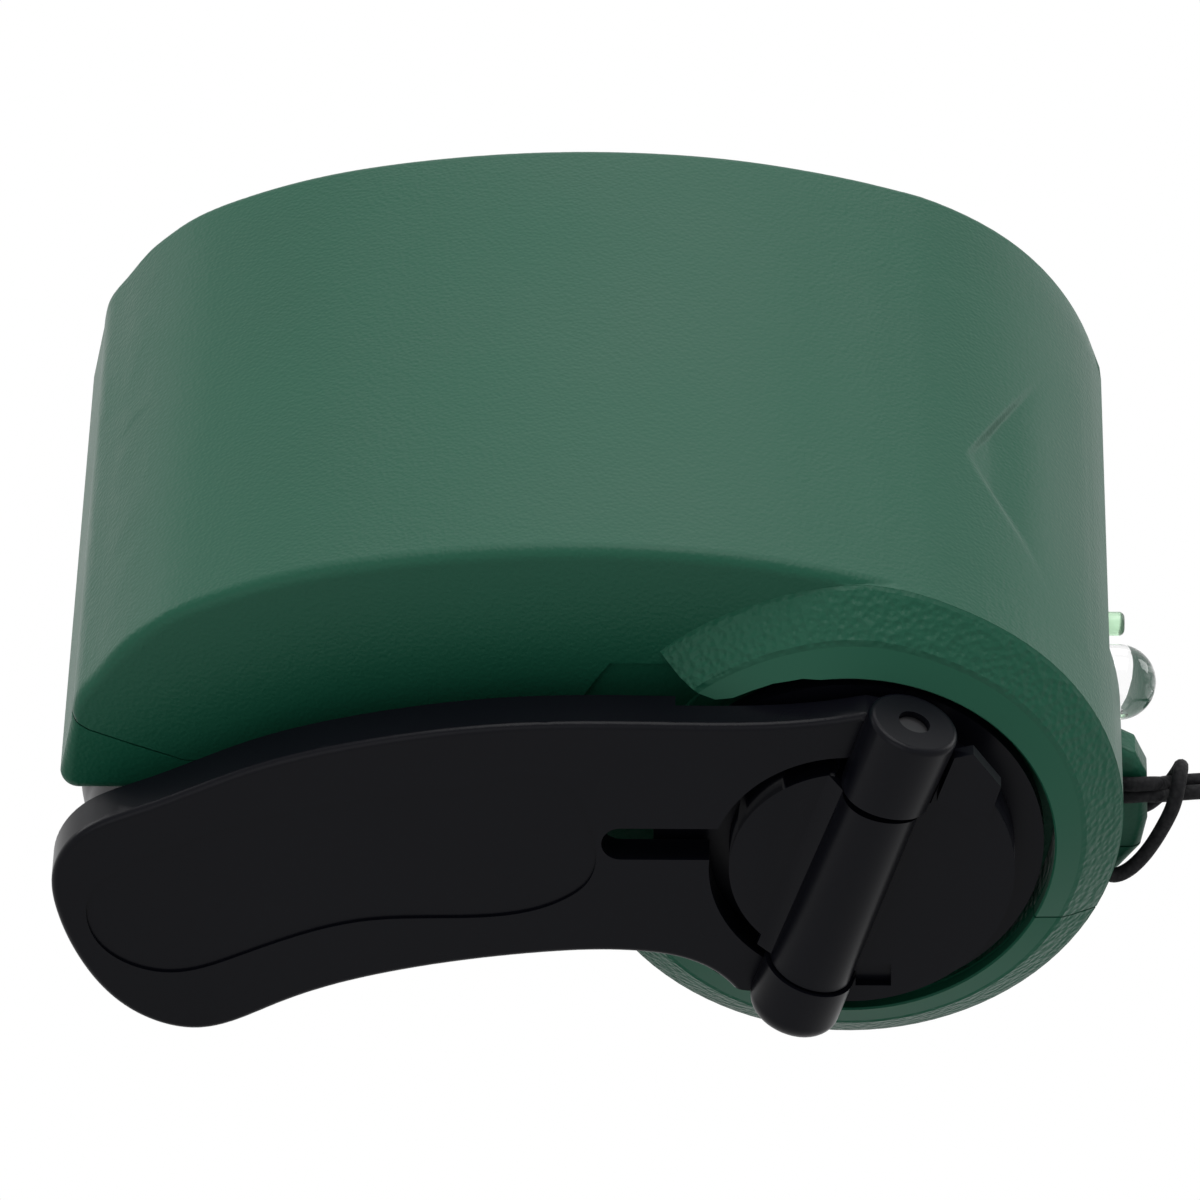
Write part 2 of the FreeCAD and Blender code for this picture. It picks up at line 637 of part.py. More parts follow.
# ---------------------------------------------------------------- generator
def make_plate():
    one, two, rotor = boss_places()
    plate = outline_face(plate_y, wall + plate_fit).extrude(V(0, plate_t, 0))
    plate = plate.cut(rod(shaft_r + run_fit + bush_wall + 0.02, plate_y - 1, plate_y + 9))
    for a in (one, two):
        plate = plate.cut(rod(axle_r + 0.02, plate_y - 1, plate_y + 9, a.x, a.z))
    plate = plate.cut(rod(3.2, plate_y - 1, plate_y + 9, rotor.x, rotor.z))
    for x, z in generator_screw_places():
        plate = plate.cut(rod(0.95, plate_y - 1, plate_y + 9, x, z))
    notch = indicator_r + 0.3
    pipe_x = end_flat_x + indicator_out - pipe_len
    plate = plate.cut(box(pipe_x - 0.5, hub_r + 5, plate_y - 1, plate_y + 9, led_z - notch, led_z + notch))
    pieces["gear_plate"] = plate


def generator_screw_places():
    rotor = boss_places()[2]
    return [(rotor.x + p.x, rotor.z + p.z) for p in (polar(5.6, 60), polar(5.6, 240))]


def make_generator():
    rotor = boss_places()[2]
    x, z = rotor.x, rotor.z
    can_y = plate_y + plate_t + 0.05
    end_y = back_y - wall - can_end_gap - cap_nose
    can = rod(can_r, can_y, end_y, x, z).cut(rod(can_r - can_wall, can_y + can_wall, end_y + 1, x, z))
    can = can.cut(rod(2.8, can_y - 1, can_y + 2, x, z))
    for sx, sz in generator_screw_places():
        can = can.cut(rod(0.82, can_y - 1, can_y + 2, sx, sz))
    pieces["generator_can"] = can
    bearing = tube(2.75, rotor_shaft_r + run_fit, can_y - 1.2, can_y + 1.6, x, z)
    pieces["rotor_bearing"] = bearing
    magnet_out = can_r - can_wall - 0.03
    ring = tube(magnet_out, magnet_out - magnet_t, can_y + 2.5, end_y - 4.0, x, z)
    gap = box(x - 2.5, x + 2.5, can_y, end_y, z - 15, z + 15)
    pieces["generator_magnets"] = ring.cut(gap)
    rotor_r = magnet_out - magnet_t - air_gap
    pieces["rotor_core"] = armature(x, z, rotor_r, can_y + 3.2, end_y - 6.2)
    tail_y = end_y + 1.2
    pieces["rotor_shaft"] = rod(rotor_shaft_r, gear_layer_y + 2 * (layer_t + layer_gap) - 0.6, tail_y, x, z)
    pieces["commutator"] = tube(2.4, rotor_shaft_r + 0.02, end_y - 6.0, end_y - 1.6, x, z)
    cap = rod(can_r - can_wall - 0.03, end_y - 1.2, end_y, x, z).fuse(tube(3.0, 1.8, end_y - 0.1, end_y + cap_nose, x, z))
    cap = cap.cut(rod(rotor_shaft_r + run_fit, end_y - 3, end_y + 3, x, z))
    brushes = []
    for side in (-1, 1):
        holder = box(x + side * 5.2 - 1.5, x + side * 5.2 + 1.5, end_y - 4.6, end_y - 1.1, z - 1.6, z + 1.6)
        slot = box(x - 9, x + 9, end_y - 3.8, end_y - 2.2, z - 0.9, z + 0.9)
        cap = cap.fuse(holder.cut(slot))
        near, far = (2.5, 6.4) if side > 0 else (-6.4, -2.5)
        brushes.append(box(x + near, x + far, end_y - 3.7, end_y - 2.3, z - 0.8, z + 0.8))
    pieces["generator_cap"] = cap
    pieces["generator_brushes"] = Part.makeCompound(brushes)
    screws = []
    for sx, sz in generator_screw_places():
        screws.append(rod(1.6, plate_y - 0.85, plate_y - 0.05, sx, sz).fuse(rod(0.8, plate_y - 0.1, can_y + 1.2, sx, sz)))
    pieces["generator_screws"] = Part.makeCompound(screws)


def armature(x, z, r, y0, y1):
    """Three T-shaped poles round the shaft, each with its winding."""
    core = tube(2.6, rotor_shaft_r + 0.02, y0, y1, x, z)
    rim = tube(r, r - 1.3, y0, y1, x, z)
    for k in range(3):
        pole = box(-1.1, 1.1, y0, y1, 2.2, r - 0.8)
        pole = pole.fuse(box(-2.6, 2.6, y0 + 0.8, y1 - 0.8, 3.2, r - 1.8).common(rod(r - 1.7, y0, y1)))
        pole.rotate(V(0, 0, 0), AXIS_Y, 120.0 * k)
        core = core.fuse(pole.translated(V(x, 0, z)))
        gap = box(-1.0, 1.0, y0 - 1, y1 + 1, 0, r + 1)
        gap.rotate(V(0, 0, 0), AXIS_Y, 120.0 * k + 60)
        rim = rim.cut(gap.translated(V(x, 0, z)))
    return core.fuse(rim)


# ---------------------------------------------------------------- electronics
def board_top():
    return board_z + board_t


def make_electronics():
    y0, y1 = plate_y + plate_t + rib_t + 0.6, back_y - wall - 0.5
    usb_in_x = end_flat_x - 0.1 - usb_len
    board = box(usb_in_x - 6.1, end_flat_x - board_end_gap, y0, y1, board_z, board_top())
    pieces["circuit_board"] = board
    y_low, y_high = usb_y - usb_w / 2, usb_y + usb_w / 2
    z0 = board_top() + 0.02
    mouth = end_flat_x - 0.1
    shell = box(mouth - usb_len, mouth, y_low, y_high, z0, z0 + usb_h)
    s = usb_sheet
    shell = shell.cut(box(mouth - usb_len + s, mouth + 1, y_low + s, y_high - s, z0 + s, z0 + usb_h - s))
    pieces["usb_shell"] = shell
    back = box(mouth - usb_len + s, mouth - usb_len + 4.5, y_low + s, y_high - s, z0 + s, z0 + usb_h - s)
    tongue_top = z0 + usb_h - s - 0.75
    tongue = box(mouth - usb_len + 4, mouth - 1.2, y_low + 1.2, y_high - 1.2, tongue_top - usb_tongue_t, tongue_top)
    block = back.fuse(tongue)
    pitch = 2.3
    strips = [box(mouth - 9.5, mouth - 1.8, usb_y + k * pitch - 0.5, usb_y + k * pitch + 0.5,
                  tongue_top - usb_tongue_t - 0.12, tongue_top - usb_tongue_t + 0.2) for k in (-1.5, -0.5, 0.5, 1.5)]
    block = block.cut(Part.makeCompound(strips))
    pieces["usb_tongue"] = block
    pieces["usb_contacts"] = Part.makeCompound(strips)
    middle = (y0 + y1) / 2
    chip = box(usb_in_x - 4.9, usb_in_x - 1.3, middle - 2, middle + 2, board_top() + 0.02, board_top() + 1.6)
    can = Part.makeCylinder(2.2, 5.5, V(usb_in_x - 3.3, y0 + 2.6, board_top() + 0.02))
    coil = Part.makeCylinder(2.3, 2.8, V(usb_in_x - 3.3, y1 - 3.2, board_top() + 0.02))
    pieces["regulator_chip"] = chip
    pieces["smoothing_capacitor"] = can
    pieces["inductor"] = coil
    make_lamp()


def make_lamp():
    """The lamp's clear body and the light pipe of the charge indicator, both round-nosed."""
    pieces["led_lens"] = round_nosed(led_y, led_r, led_len, led_out, led_r)
    flange = Part.makeCylinder(led_r + 0.4, 0.9, V(end_flat_x + led_out - led_len, led_y, led_z), V(1, 0, 0))
    pieces["led_lens"] = pieces["led_lens"].fuse(flange).removeSplitter()
    pieces["charge_indicator"] = round_nosed(indicator_y, indicator_r, pipe_len, indicator_out, indicator_r / 2)


def round_nosed(y, r, length, out, nose):
    """A rod along X whose tip stands out of the end wall, rounded by the given amount."""
    body = Part.makeCylinder(r, length, V(end_flat_x + out - length, y, led_z), V(1, 0, 0))
    tip = [e for e in body.Edges if e.BoundBox.XMin > end_flat_x + out - 0.01]
    return body.makeFillet(nose * 0.999, tip[:1])


# ---------------------------------------------------------------- fasteners
def make_housing_screws():
    screws = []
    for x, y, low, split in screw_places():
        top = split - screw_seat
        shank = Part.makeCylinder(screw_r, screw_len, V(x, y, top))
        head = Part.makeCylinder(screw_head_r, 1.5, V(x, y, top - 1.5))
        slot = box(x - 1.5, x + 1.5, y - 0.3, y + 0.3, top - 2, top - 0.9)
        slot = slot.fuse(box(x - 0.3, x + 0.3, y - 1.5, y + 1.5, top - 2, top - 0.9))
        screws.append(head.fuse(shank).cut(slot))
    pieces["housing_screws"] = Part.makeCompound(screws)


# ---------------------------------------------------------------- stand, cord, export
def stand_angle():
    """The lean at which the hub and the arm's end both touch the ground."""
    arm = pieces["crank_arm"]
    low, high = 0.0, 15.0
    for _ in range(30):
        mid = (low + high) / 2
        turned_arm = arm.copy()
        turned_arm.rotate(V(0, 0, 0), AXIS_Y, -mid)
        if turned_arm.optimalBoundingBox(False).ZMin > -hub_r:
            low = mid
        else:
            high = mid
    return -(low + high) / 2


def make_lanyard(place):
    """The hitch round the eye's bar, two strands to a flat coil on the ground, and the end knot."""
    r = cord_d / 2
    make_hitch(place)
    bar = place.multVec(V(hub_r + eye_out + 2 * r + 0.15, eye_y, eye_mid_z))
    coil = V(bar.x + 14.6, bar.y + 18.6, 0)
    tail = V(coil.x - 3.5, coil.y - 3.5, coil_h + 0.02)
    strands = []
    for side in (-1, 1):
        across = V(0, side * (r + 0.12), 0)
        over = V(side * 0.45, side * -0.45, 0)
        route = [bar + across, bar + across + V(3.0, 0.3, 0.5), bar + across + V(6.3, 2.4, -1.1),
                 bar + across + V(8.9, 8.6, -5.6), tail + over + V(0, 0, 4.6), tail + over]
        strands.append(swept(route, r))
    pieces["lanyard_strands"] = Part.makeCompound(strands)
    inner_r = coil_r - coil_turns_w
    ring = [(inner_r, 0.05), (coil_r - 0.6, 0.05), (coil_r, coil_h / 3), (coil_r - 0.6, coil_h), (inner_r, coil_h)]
    pts = [coil + V(radius, 0, z) for radius, z in ring]
    turns = Part.Face(Part.makePolygon(pts + pts[:1])).revolve(coil, V(0, 0, 1), 360)
    pieces["lanyard_coil"] = turns
    knot_at = coil + V(coil_r + 0.2 + knot_r, 0, knot_r + 0.05)
    pieces["lanyard_knot"] = Part.makeSphere(knot_r, knot_at)
    print("lanyard bar", bar, "coil centre", coil, "tail", tail, "knot", knot_at)


def make_hitch(place):
    """A loop of cord that goes through the eye and round its bar."""
    r = cord_d / 2 - 0.02
    x0, x1 = hub_r - 0.2 - r - 0.15, hub_r + eye_out + r + 0.1
    y0, y1 = eye_y - eye_w / 2 - r - 0.1, eye_y + eye_w / 2 + r + 0.1
    bend = 0.9
    z = eye_mid_z
    edges = []
    corners = [(x0, y0), (x1, y0), (x1, y1), (x0, y1)]
    for k, (cx, cy) in enumerate(corners):
        px, py = corners[k - 1]
        nx, ny = corners[(k + 1) % 4]
        back, on = V(px - cx, py - cy, 0).normalize(), V(nx - cx, ny - cy, 0).normalize()
        at = V(cx, cy, z)
        middle = at + (back + on) * bend * (1 - math.sqrt(0.5))
        edges.append((at + back * bend, middle, at + on * bend))
    loop = []
    for k, (start, middle, end) in enumerate(edges):
        loop.append(Part.makeLine(edges[k - 1][2], start))
        loop.append(Part.Arc(start, middle, end).toShape())
    wire = Part.Wire(loop)
    first = edges[-1][2]
    ring = Part.Wire([Part.makeCircle(r, first, V(0, -1, 0))])
    hitch = wire.makePipeShell([ring], True, False)
    hitch.Placement = place
    pieces["lanyard_hitch"] = hitch


def swept(route, r):
    """A round tube along straight runs joined by tangent arcs."""
    edges, last = [], route[0]
    for before, at, after in zip(route, route[1:], route[2:]):
        run_in, run_out = (before - at), (after - at)
        shorter = min(run_in.Length, run_out.Length)
        u, w = run_in.normalize(), run_out.normalize()
        turn = math.pi - u.getAngle(w)
        radius = 0.45 * shorter / math.tan(turn / 2)
        back = radius * math.tan(turn / 2)
        start, end = at + u * back, at + w * back
        centre_dir = (u + w).normalize()
        centre = at + centre_dir * (radius / math.cos(turn / 2))
        middle = centre - centre_dir * radius
        edges += [Part.makeLine(last, start), Part.Arc(start, middle, end).toShape()]
        last = end
    edges.append(Part.makeLine(last, route[-1]))
    wire = Part.Wire(edges)
    ring = Part.Wire([Part.makeCircle(r, route[0], route[1] - route[0])])
    return wire.makePipeShell([ring], True, False)


def main():
    make_shells()
    make_crank_disc()
    make_arm()
    make_hinge_pin()
    make_knob()
    make_gears()
    make_shaft()
    make_plate()
    make_generator()
    make_electronics()
    make_housing_screws()
    lean = stand_angle()
    for shape in pieces.values():
        shape.rotate(V(0, 0, 0), AXIS_Y, lean)
    outside = [pieces[n] for n in ("upper_shell", "lower_shell", "crank_arm", "led_lens")]
    whole = Part.makeCompound(outside).optimalBoundingBox(False)
    shift = V(-(whole.XMin + whole.XMax) / 2, -(whole.YMin + whole.YMax) / 2, hub_r)
    print("box", whole)
    for shape in pieces.values():
        shape.translate(shift)
    place = FreeCAD.Placement(shift, FreeCAD.Rotation(AXIS_Y, lean))
    make_lanyard(place)
    os.makedirs("parts", exist_ok=True)
    for name, shape in pieces.items():
        shape.exportStep("parts/%s.step" % name)
    one, two, rotor = boss_places()
    marks = {"hub": V(0, 0, 0), "hinge": V(0, hinge_y, 0), "knob": V(knob_x, 0, knob_z), "idler_1": one,
             "idler_2": two, "rotor": rotor, "usb_mouth": V(end_flat_x, usb_y, board_top() + usb_h / 2),
             "eye": V(hub_r + eye_out, eye_y, eye_mid_z), "back": V(-18, back_y, 6), "lamp": V(end_flat_x + led_out, led_y, led_z)}
    print("lean %.4f" % lean, "shift", shift)
    for name, point in marks.items():
        print(name, place.multVec(point))
    print("hinge direction", place.Rotation.multVec(hinge_dir), "right", place.Rotation.multVec(V(1, 0, 0)))
    print("count", len(pieces), [n for n, s in pieces.items() if not s.isValid()])


main()
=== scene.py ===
import math
import bpy
from mathutils import Matrix, Vector


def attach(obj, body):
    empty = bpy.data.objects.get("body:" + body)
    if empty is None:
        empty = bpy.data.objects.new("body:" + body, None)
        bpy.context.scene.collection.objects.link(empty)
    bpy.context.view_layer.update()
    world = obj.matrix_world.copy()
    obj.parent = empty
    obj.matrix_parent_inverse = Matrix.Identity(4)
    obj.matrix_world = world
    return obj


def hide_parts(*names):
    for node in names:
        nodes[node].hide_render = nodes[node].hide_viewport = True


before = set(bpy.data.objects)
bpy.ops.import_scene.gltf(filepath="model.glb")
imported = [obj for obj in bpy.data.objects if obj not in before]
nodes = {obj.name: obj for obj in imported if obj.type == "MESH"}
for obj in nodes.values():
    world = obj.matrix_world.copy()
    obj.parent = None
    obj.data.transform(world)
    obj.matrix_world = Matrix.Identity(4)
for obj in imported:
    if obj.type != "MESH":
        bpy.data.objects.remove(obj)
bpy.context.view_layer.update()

mm = 0.001

# camera and cord come first
cameraView = {
    "place": (-37.96, -640.94, 485.33),   # mm
    "right": (0.99491, 0.01534, 0.09958),
    "up": (-0.08949, 0.58864, 0.80342),
    "lens": 361.71,
    "sensor": 36.0,
}


def makeCamera(view):
    data = bpy.data.cameras.new("viewCamera")
    data.sensor_width = view["sensor"]
    data.lens = view["lens"]
    data.clip_start, data.clip_end = 0.05, 20
    camera = bpy.data.objects.new("viewCamera", data)
    bpy.context.scene.collection.objects.link(camera)
    right, up = Vector(view["right"]).normalized(), Vector(view["up"]).normalized()
    back = right.cross(up).normalized()
    turn = Matrix((right, up, back)).transposed()
    camera.rotation_euler = turn.to_euler()
    camera.location = Vector(view["place"]) * mm
    bpy.context.scene.camera = camera
    print("camera ready")


makeCamera(cameraView)


def pathCurve(name, points, diameter, closed=False):
    data = bpy.data.curves.new(name, "CURVE")
    data.dimensions = "3D"
    data.bevel_depth = 1.0
    data.bevel_resolution = 4
    data.resolution_u = data.render_resolution_u = 6
    data.use_fill_caps = True
    line = data.splines.new("NURBS")
    line.points.add(len(points) - 1)
    for place, point in zip(line.points, points):
        place.co = (point[0] * mm, point[1] * mm, point[2] * mm, 1)
        place.radius = diameter / 2 * mm
    line.order_u = 3
    line.use_endpoint_u = not closed
    line.use_cyclic_u = closed
    piece = bpy.data.objects.new(name, data)
    bpy.context.scene.collection.objects.link(piece)
    return piece


lanyard = {
    "diameter": 1.0,                       # mm
    "length": 150.0,                       # of each of the two ends
    "bar": (36.441, -10.2, 16.118),
    "tail": (47.541, 4.9, 4.02),
    "coilCentre": (51.041, 8.4),
    "knot": (59.441, 8.4, 1.65),
    "spread": 0.62,                        # of each end from the middle of the bar
    "tailSpread": (0.45, -0.45, 0.0),
    "turnPoints": 16,
    "pitch": 1.02,                         # rise of the coil for each turn
    "lift": 0.05,                          # off the surface
    "knotPoints": 24, "knotSize": 0.36, "knotHeight": 0.62,
    "ends": [
        # side of the eye, radius of the turns, angle where they start, their number, height at the knot
        {"name": "cordFront", "side": -1, "radius": 5.75, "from": 225.0, "turns": 3.24, "end": 1.1},
        {"name": "cordRear", "side": 1, "radius": 4.65, "from": 240.0, "turns": 4.17, "end": 2.0},
    ],
}


def cordRoute(values, end):
    # from the eye down to the coil, then round it, and off to the knot
    side = end["side"]
    bx, by, bz = values["bar"]
    by += side * values["spread"]
    tx, ty, tz = (t + side * o for t, o in zip(values["tail"], values["tailSpread"]))
    route = [(bx, by, bz), (bx + 3.0, by + 0.3, bz + 0.5), (bx + 6.3, by + 2.4, bz - 1.1),
             (bx + 8.9, by + 8.6, bz - 5.6), (tx, ty, tz + 4.6)]
    cx, cy = values["coilCentre"]
    step = 360.0 / values["turnPoints"]
    pull = math.cos(math.radians(step / 2)) ** 2
    count = round(end["turns"] * values["turnPoints"])
    low = values["diameter"] / 2 + values["lift"]
    for k in range(count + 1):
        angle = math.radians(end["from"] + k * step)
        ease = max(0.0, 1 - k / 4)
        radius = end["radius"] / pull + (5.0 - end["radius"]) * ease
        height = low + (end["turns"] - k / values["turnPoints"]) * values["pitch"] + 2.2 * ease ** 2
        route.append((cx + radius * math.cos(angle), cy + radius * math.sin(angle), max(low, height)))
    kx, ky = values["knot"][:2]
    last = route[-1]
    route.append((last[0] * 0.45 + kx * 0.55, last[1] * 0.45 + ky * 0.55, (low + end["end"]) / 2))
    route.append((kx, ky, end["end"]))
    return route


# the loop that goes through the eye, round its bar and over both ends, mm
hitchRoute = [
    (36.441, -9.58, 16.118), (36.1, -10.9, 17.0), (35.2, -12.15, 17.9), (33.8, -12.25, 17.7),
    (32.4, -11.2, 17.0), (31.9, -9.6, 16.3), (32.6, -8.2, 15.0), (33.9, -7.9, 13.2), (35.3, -8.1, 12.7),
    (36.5, -8.4, 14.4), (37.2, -8.8, 16.4), (37.3, -9.6, 17.7), (37.2, -10.6, 18.2), (37.1, -11.5, 18.1),
    (37.0, -12.2, 17.2), (36.8, -12.4, 15.8), (35.8, -12.5, 12.8), (34.6, -12.6, 10.9), (33.4, -12.7, 10.4),
    (32.9, -12.8, 11.6), (32.6, -12.4, 13.4), (32.2, -11.2, 15.0), (32.3, -11.2, 16.0), (33.5, -12.25, 16.7),
    (35.0, -12.2, 17.0), (36.0, -11.6, 16.6), (36.441, -10.82, 16.118)]


def knotRoute(values):
    # a tight overhand knot
    kx, ky, kz = values["knot"]
    size, height, count = values["knotSize"], values["knotHeight"], values["knotPoints"]
    points = []
    for k in range(count):
        t = 2 * math.pi * k / count
        points.append((kx + size * (math.sin(t) + 2 * math.sin(2 * t)),
                       ky + size * (math.cos(t) - 2 * math.cos(2 * t)), kz - height * math.sin(3 * t)))
    return points


def makeLanyard(values):
    hitch = pathCurve("lanyardHitch", hitchRoute, values["diameter"])
    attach(hitch, "housing")
    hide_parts("lanyard_hitch")
    knot = pathCurve("lanyardKnot", knotRoute(values), values["diameter"], closed=True)
    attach(knot, "housing")
    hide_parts("lanyard_knot")
    cords = []
    for end in values["ends"]:
        route = cordRoute(values, end)
        cord = pathCurve(end["name"], route, values["diameter"])
        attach(cord, "housing")
        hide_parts("lanyard_strands", "lanyard_coil")
        cords.append(cord)
    print("lanyard ready")
    return cords + [hitch, knot]


lanyardPieces = makeLanyard(lanyard)


def newGroup(name, inputs, outputs):
    group = bpy.data.node_groups.new(name, "ShaderNodeTree")
    for label, kind, value in inputs:
        socket = group.interface.new_socket(name=label, in_out="INPUT", socket_type=kind)
        if value is not None:
            socket.default_value = value
    for label, kind in outputs:
        group.interface.new_socket(name=label, in_out="OUTPUT", socket_type=kind)
    start = group.nodes.new("NodeGroupInput")
    end = group.nodes.new("NodeGroupOutput")
    return group, start, end


def addNode(tree, kind, **values):
    node = tree.nodes.new(kind)
    for key, value in values.items():
        setattr(node, key, value)
    return node


def mouldedGrainGroup():
    # leather-like spark texture: small flat cells with a soft variation over them
    group, start, end = newGroup("mouldedGrain",
        [("Cell Scale", "NodeSocketFloat", 3500.0), ("Cloud Scale", "NodeSocketFloat", 90.0)],
        [("Height", "NodeSocketFloat"), ("Clouds", "NodeSocketFloat")])
    link = group.links.new
    place = addNode(group, "ShaderNodeTexCoord")
    cells = addNode(group, "ShaderNodeTexVoronoi", feature="SMOOTH_F1")
    cells.inputs["Smoothness"].default_value = 0.6
    fine = addNode(group, "ShaderNodeTexNoise")
    fine.inputs["Detail"].default_value = 3.0
    clouds = addNode(group, "ShaderNodeTexNoise")
    clouds.inputs["Detail"].default_value = 2.0
    mix = addNode(group, "ShaderNodeMath", operation="ADD")
    half = addNode(group, "ShaderNodeMath", operation="MULTIPLY")
    half.inputs[1].default_value = 0.5
    link(place.outputs["Object"], cells.inputs["Vector"])
    link(place.outputs["Object"], fine.inputs["Vector"])
    link(place.outputs["Object"], clouds.inputs["Vector"])
    link(start.outputs["Cell Scale"], cells.inputs["Scale"])
    link(start.outputs["Cell Scale"], fine.inputs["Scale"])
    link(start.outputs["Cloud Scale"], clouds.inputs["Scale"])
    link(cells.outputs["Distance"], mix.inputs[0])
    link(fine.outputs["Fac"], half.inputs[0])
    link(half.outputs[0], mix.inputs[1])
    link(mix.outputs[0], end.inputs["Height"])
    link(clouds.outputs["Fac"], end.inputs["Clouds"])
    return group


def scratchedGroup():
    # drawn-metal streaks and faint stains
    group, start, end = newGroup("drawnMetal",
        [("Streak Scale", "NodeSocketFloat", 900.0)],
        [("Height", "NodeSocketFloat"), ("Stain", "NodeSocketFloat")])
    link = group.links.new
    place = addNode(group, "ShaderNodeTexCoord")
    squeeze = addNode(group, "ShaderNodeMapping")
    squeeze.inputs["Scale"].default_value = (1.0, 0.08, 1.0)
    streaks = addNode(group, "ShaderNodeTexNoise")
    stain = addNode(group, "ShaderNodeTexNoise")
    stain.inputs["Scale"].default_value = 160.0
    link(place.outputs["Object"], squeeze.inputs["Vector"])
    link(squeeze.outputs["Vector"], streaks.inputs["Vector"])
    link(start.outputs["Streak Scale"], streaks.inputs["Scale"])
    link(place.outputs["Object"], stain.inputs["Vector"])
    link(streaks.outputs["Fac"], end.inputs["Height"])
    link(stain.outputs["Fac"], end.inputs["Stain"])
    return group


grainGroup = mouldedGrainGroup()
metalGroup = scratchedGroup()
print("node groups ready")


def startMaterial(name):
    material = bpy.data.materials.new(name)
    material.use_nodes = True
    tree = material.node_tree
    shader = tree.nodes["Principled BSDF"]
    return material, tree, shader


def setShader(shader, values):
    for key, value in values.items():
        shader.inputs[key].default_value = value


def tintRamp(tree, value, low, high, socket):
    ramp = addNode(tree, "ShaderNodeMix", data_type="RGBA")
    ramp.inputs[6].default_value = (*low, 1)
    ramp.inputs[7].default_value = (*high, 1)
    tree.links.new(value, ramp.inputs[0])
    tree.links.new(ramp.outputs[2], socket)


def roughRange(tree, value, low, high, socket):
    spread = addNode(tree, "ShaderNodeMapRange")
    spread.inputs["From Min"].default_value = 0.3
    spread.inputs["From Max"].default_value = 0.7
    spread.inputs["To Min"].default_value = low
    spread.inputs["To Max"].default_value = high
    tree.links.new(value, spread.inputs["Value"])
    tree.links.new(spread.outputs["Result"], socket)


def plasticMaterial(name, low, high, rough, cell, cloud, bump, specular=0.5):
    material, tree, shader = startMaterial(name)
    shader.inputs["Specular IOR Level"].default_value = specular
    grain = addNode(tree, "ShaderNodeGroup", node_tree=grainGroup)
    grain.inputs["Cell Scale"].default_value = cell
    grain.inputs["Cloud Scale"].default_value = cloud
    tintRamp(tree, grain.outputs["Clouds"], low, high, shader.inputs["Base Color"])
    roughRange(tree, grain.outputs["Clouds"], rough[0], rough[1], shader.inputs["Roughness"])
    rise = addNode(tree, "ShaderNodeBump")
    rise.inputs["Strength"].default_value = bump[0]
    rise.inputs["Distance"].default_value = bump[1] * mm
    tree.links.new(grain.outputs["Height"], rise.inputs["Height"])
    tree.links.new(rise.outputs["Normal"], shader.inputs["Normal"])
    return material


def collarGrain(material, values):
    # the collar's slope has a coarser grain, and its face is smooth
    blend = values["blend"]
    tree = material.node_tree
    rise = next(n for n in tree.nodes if n.type == "BUMP")
    fine = next(n for n in tree.nodes if n.type == "GROUP")
    coarse = addNode(tree, "ShaderNodeGroup", node_tree=grainGroup)
    coarse.inputs["Cell Scale"].default_value = values["cell"]
    place = addNode(tree, "ShaderNodeTexCoord")
    split = addNode(tree, "ShaderNodeSeparateXYZ")
    slope = addNode(tree, "ShaderNodeMapRange")
    slope.inputs["From Min"].default_value = (values["slopeY"] + blend) * mm
    slope.inputs["From Max"].default_value = (values["slopeY"] - blend) * mm
    face = addNode(tree, "ShaderNodeMapRange")
    face.inputs["From Min"].default_value = (values["faceY"] + blend) * mm
    face.inputs["From Max"].default_value = (values["faceY"] - blend) * mm
    face.inputs["To Min"].default_value = 1.0
    face.inputs["To Max"].default_value = 0.0
    taller = addNode(tree, "ShaderNodeMath", operation="MULTIPLY")
    taller.inputs[1].default_value = values["height"]
    pick = addNode(tree, "ShaderNodeMix", data_type="FLOAT")
    level = addNode(tree, "ShaderNodeMath", operation="MULTIPLY")
    link = tree.links.new
    link(place.outputs["Object"], split.inputs[0])
    link(split.outputs["Y"], slope.inputs["Value"])
    link(split.outputs["Y"], face.inputs["Value"])
    link(slope.outputs["Result"], pick.inputs[0])
    link(fine.outputs["Height"], pick.inputs[2])
    link(coarse.outputs["Height"], taller.inputs[0])
    link(taller.outputs[0], pick.inputs[3])
    link(pick.outputs[0], level.inputs[0])
    link(face.outputs["Result"], level.inputs[1])
    link(level.outputs[0], rise.inputs["Height"])


def metalMaterial(name, low, high, rough, streak, bump):
    material, tree, shader = startMaterial(name)
    drawn = addNode(tree, "ShaderNodeGroup", node_tree=metalGroup)
    drawn.inputs["Streak Scale"].default_value = streak
    tintRamp(tree, drawn.outputs["Stain"], low, high, shader.inputs["Base Color"])
    roughRange(tree, drawn.outputs["Stain"], rough[0], rough[1], shader.inputs["Roughness"])
    rise = addNode(tree, "ShaderNodeBump")
    rise.inputs["Strength"].default_value = bump
    rise.inputs["Distance"].default_value = 0.01 * mm
    tree.links.new(drawn.outputs["Height"], rise.inputs["Height"])
    tree.links.new(rise.outputs["Normal"], shader.inputs["Normal"])
    setShader(shader, {"Metallic": 1.0})
    return material


greenPlastic = {
    "low": (0.0045, 0.058, 0.032), "high": (0.0060, 0.068, 0.038), "rough": (0.44, 0.50),
    "cell": 3600, "cloud": 60, "bump": (0.55, 0.05),
    # the lower shell's copy of this green reflects less than the upper's: painted shade that keeps the hub's
    # underside dark
    "specular": {"greenShell": 0.2, "greenLower": 0.12},
    "sheen": {"Sheen Weight": 0.12, "Sheen Roughness": 0.25},
    "collar": {"cell": 2100, "height": 5.5, "slopeY": -18.3, "faceY": -20.6, "blend": 0.1},
}


def greenMaterial(name, values):
    material = plasticMaterial(name, values["low"], values["high"], values["rough"], values["cell"],
                               values["cloud"], values["bump"], specular=values["specular"][name])
    setShader(material.node_tree.nodes["Principled BSDF"], values["sheen"])
    collarGrain(material, values["collar"])
    return material


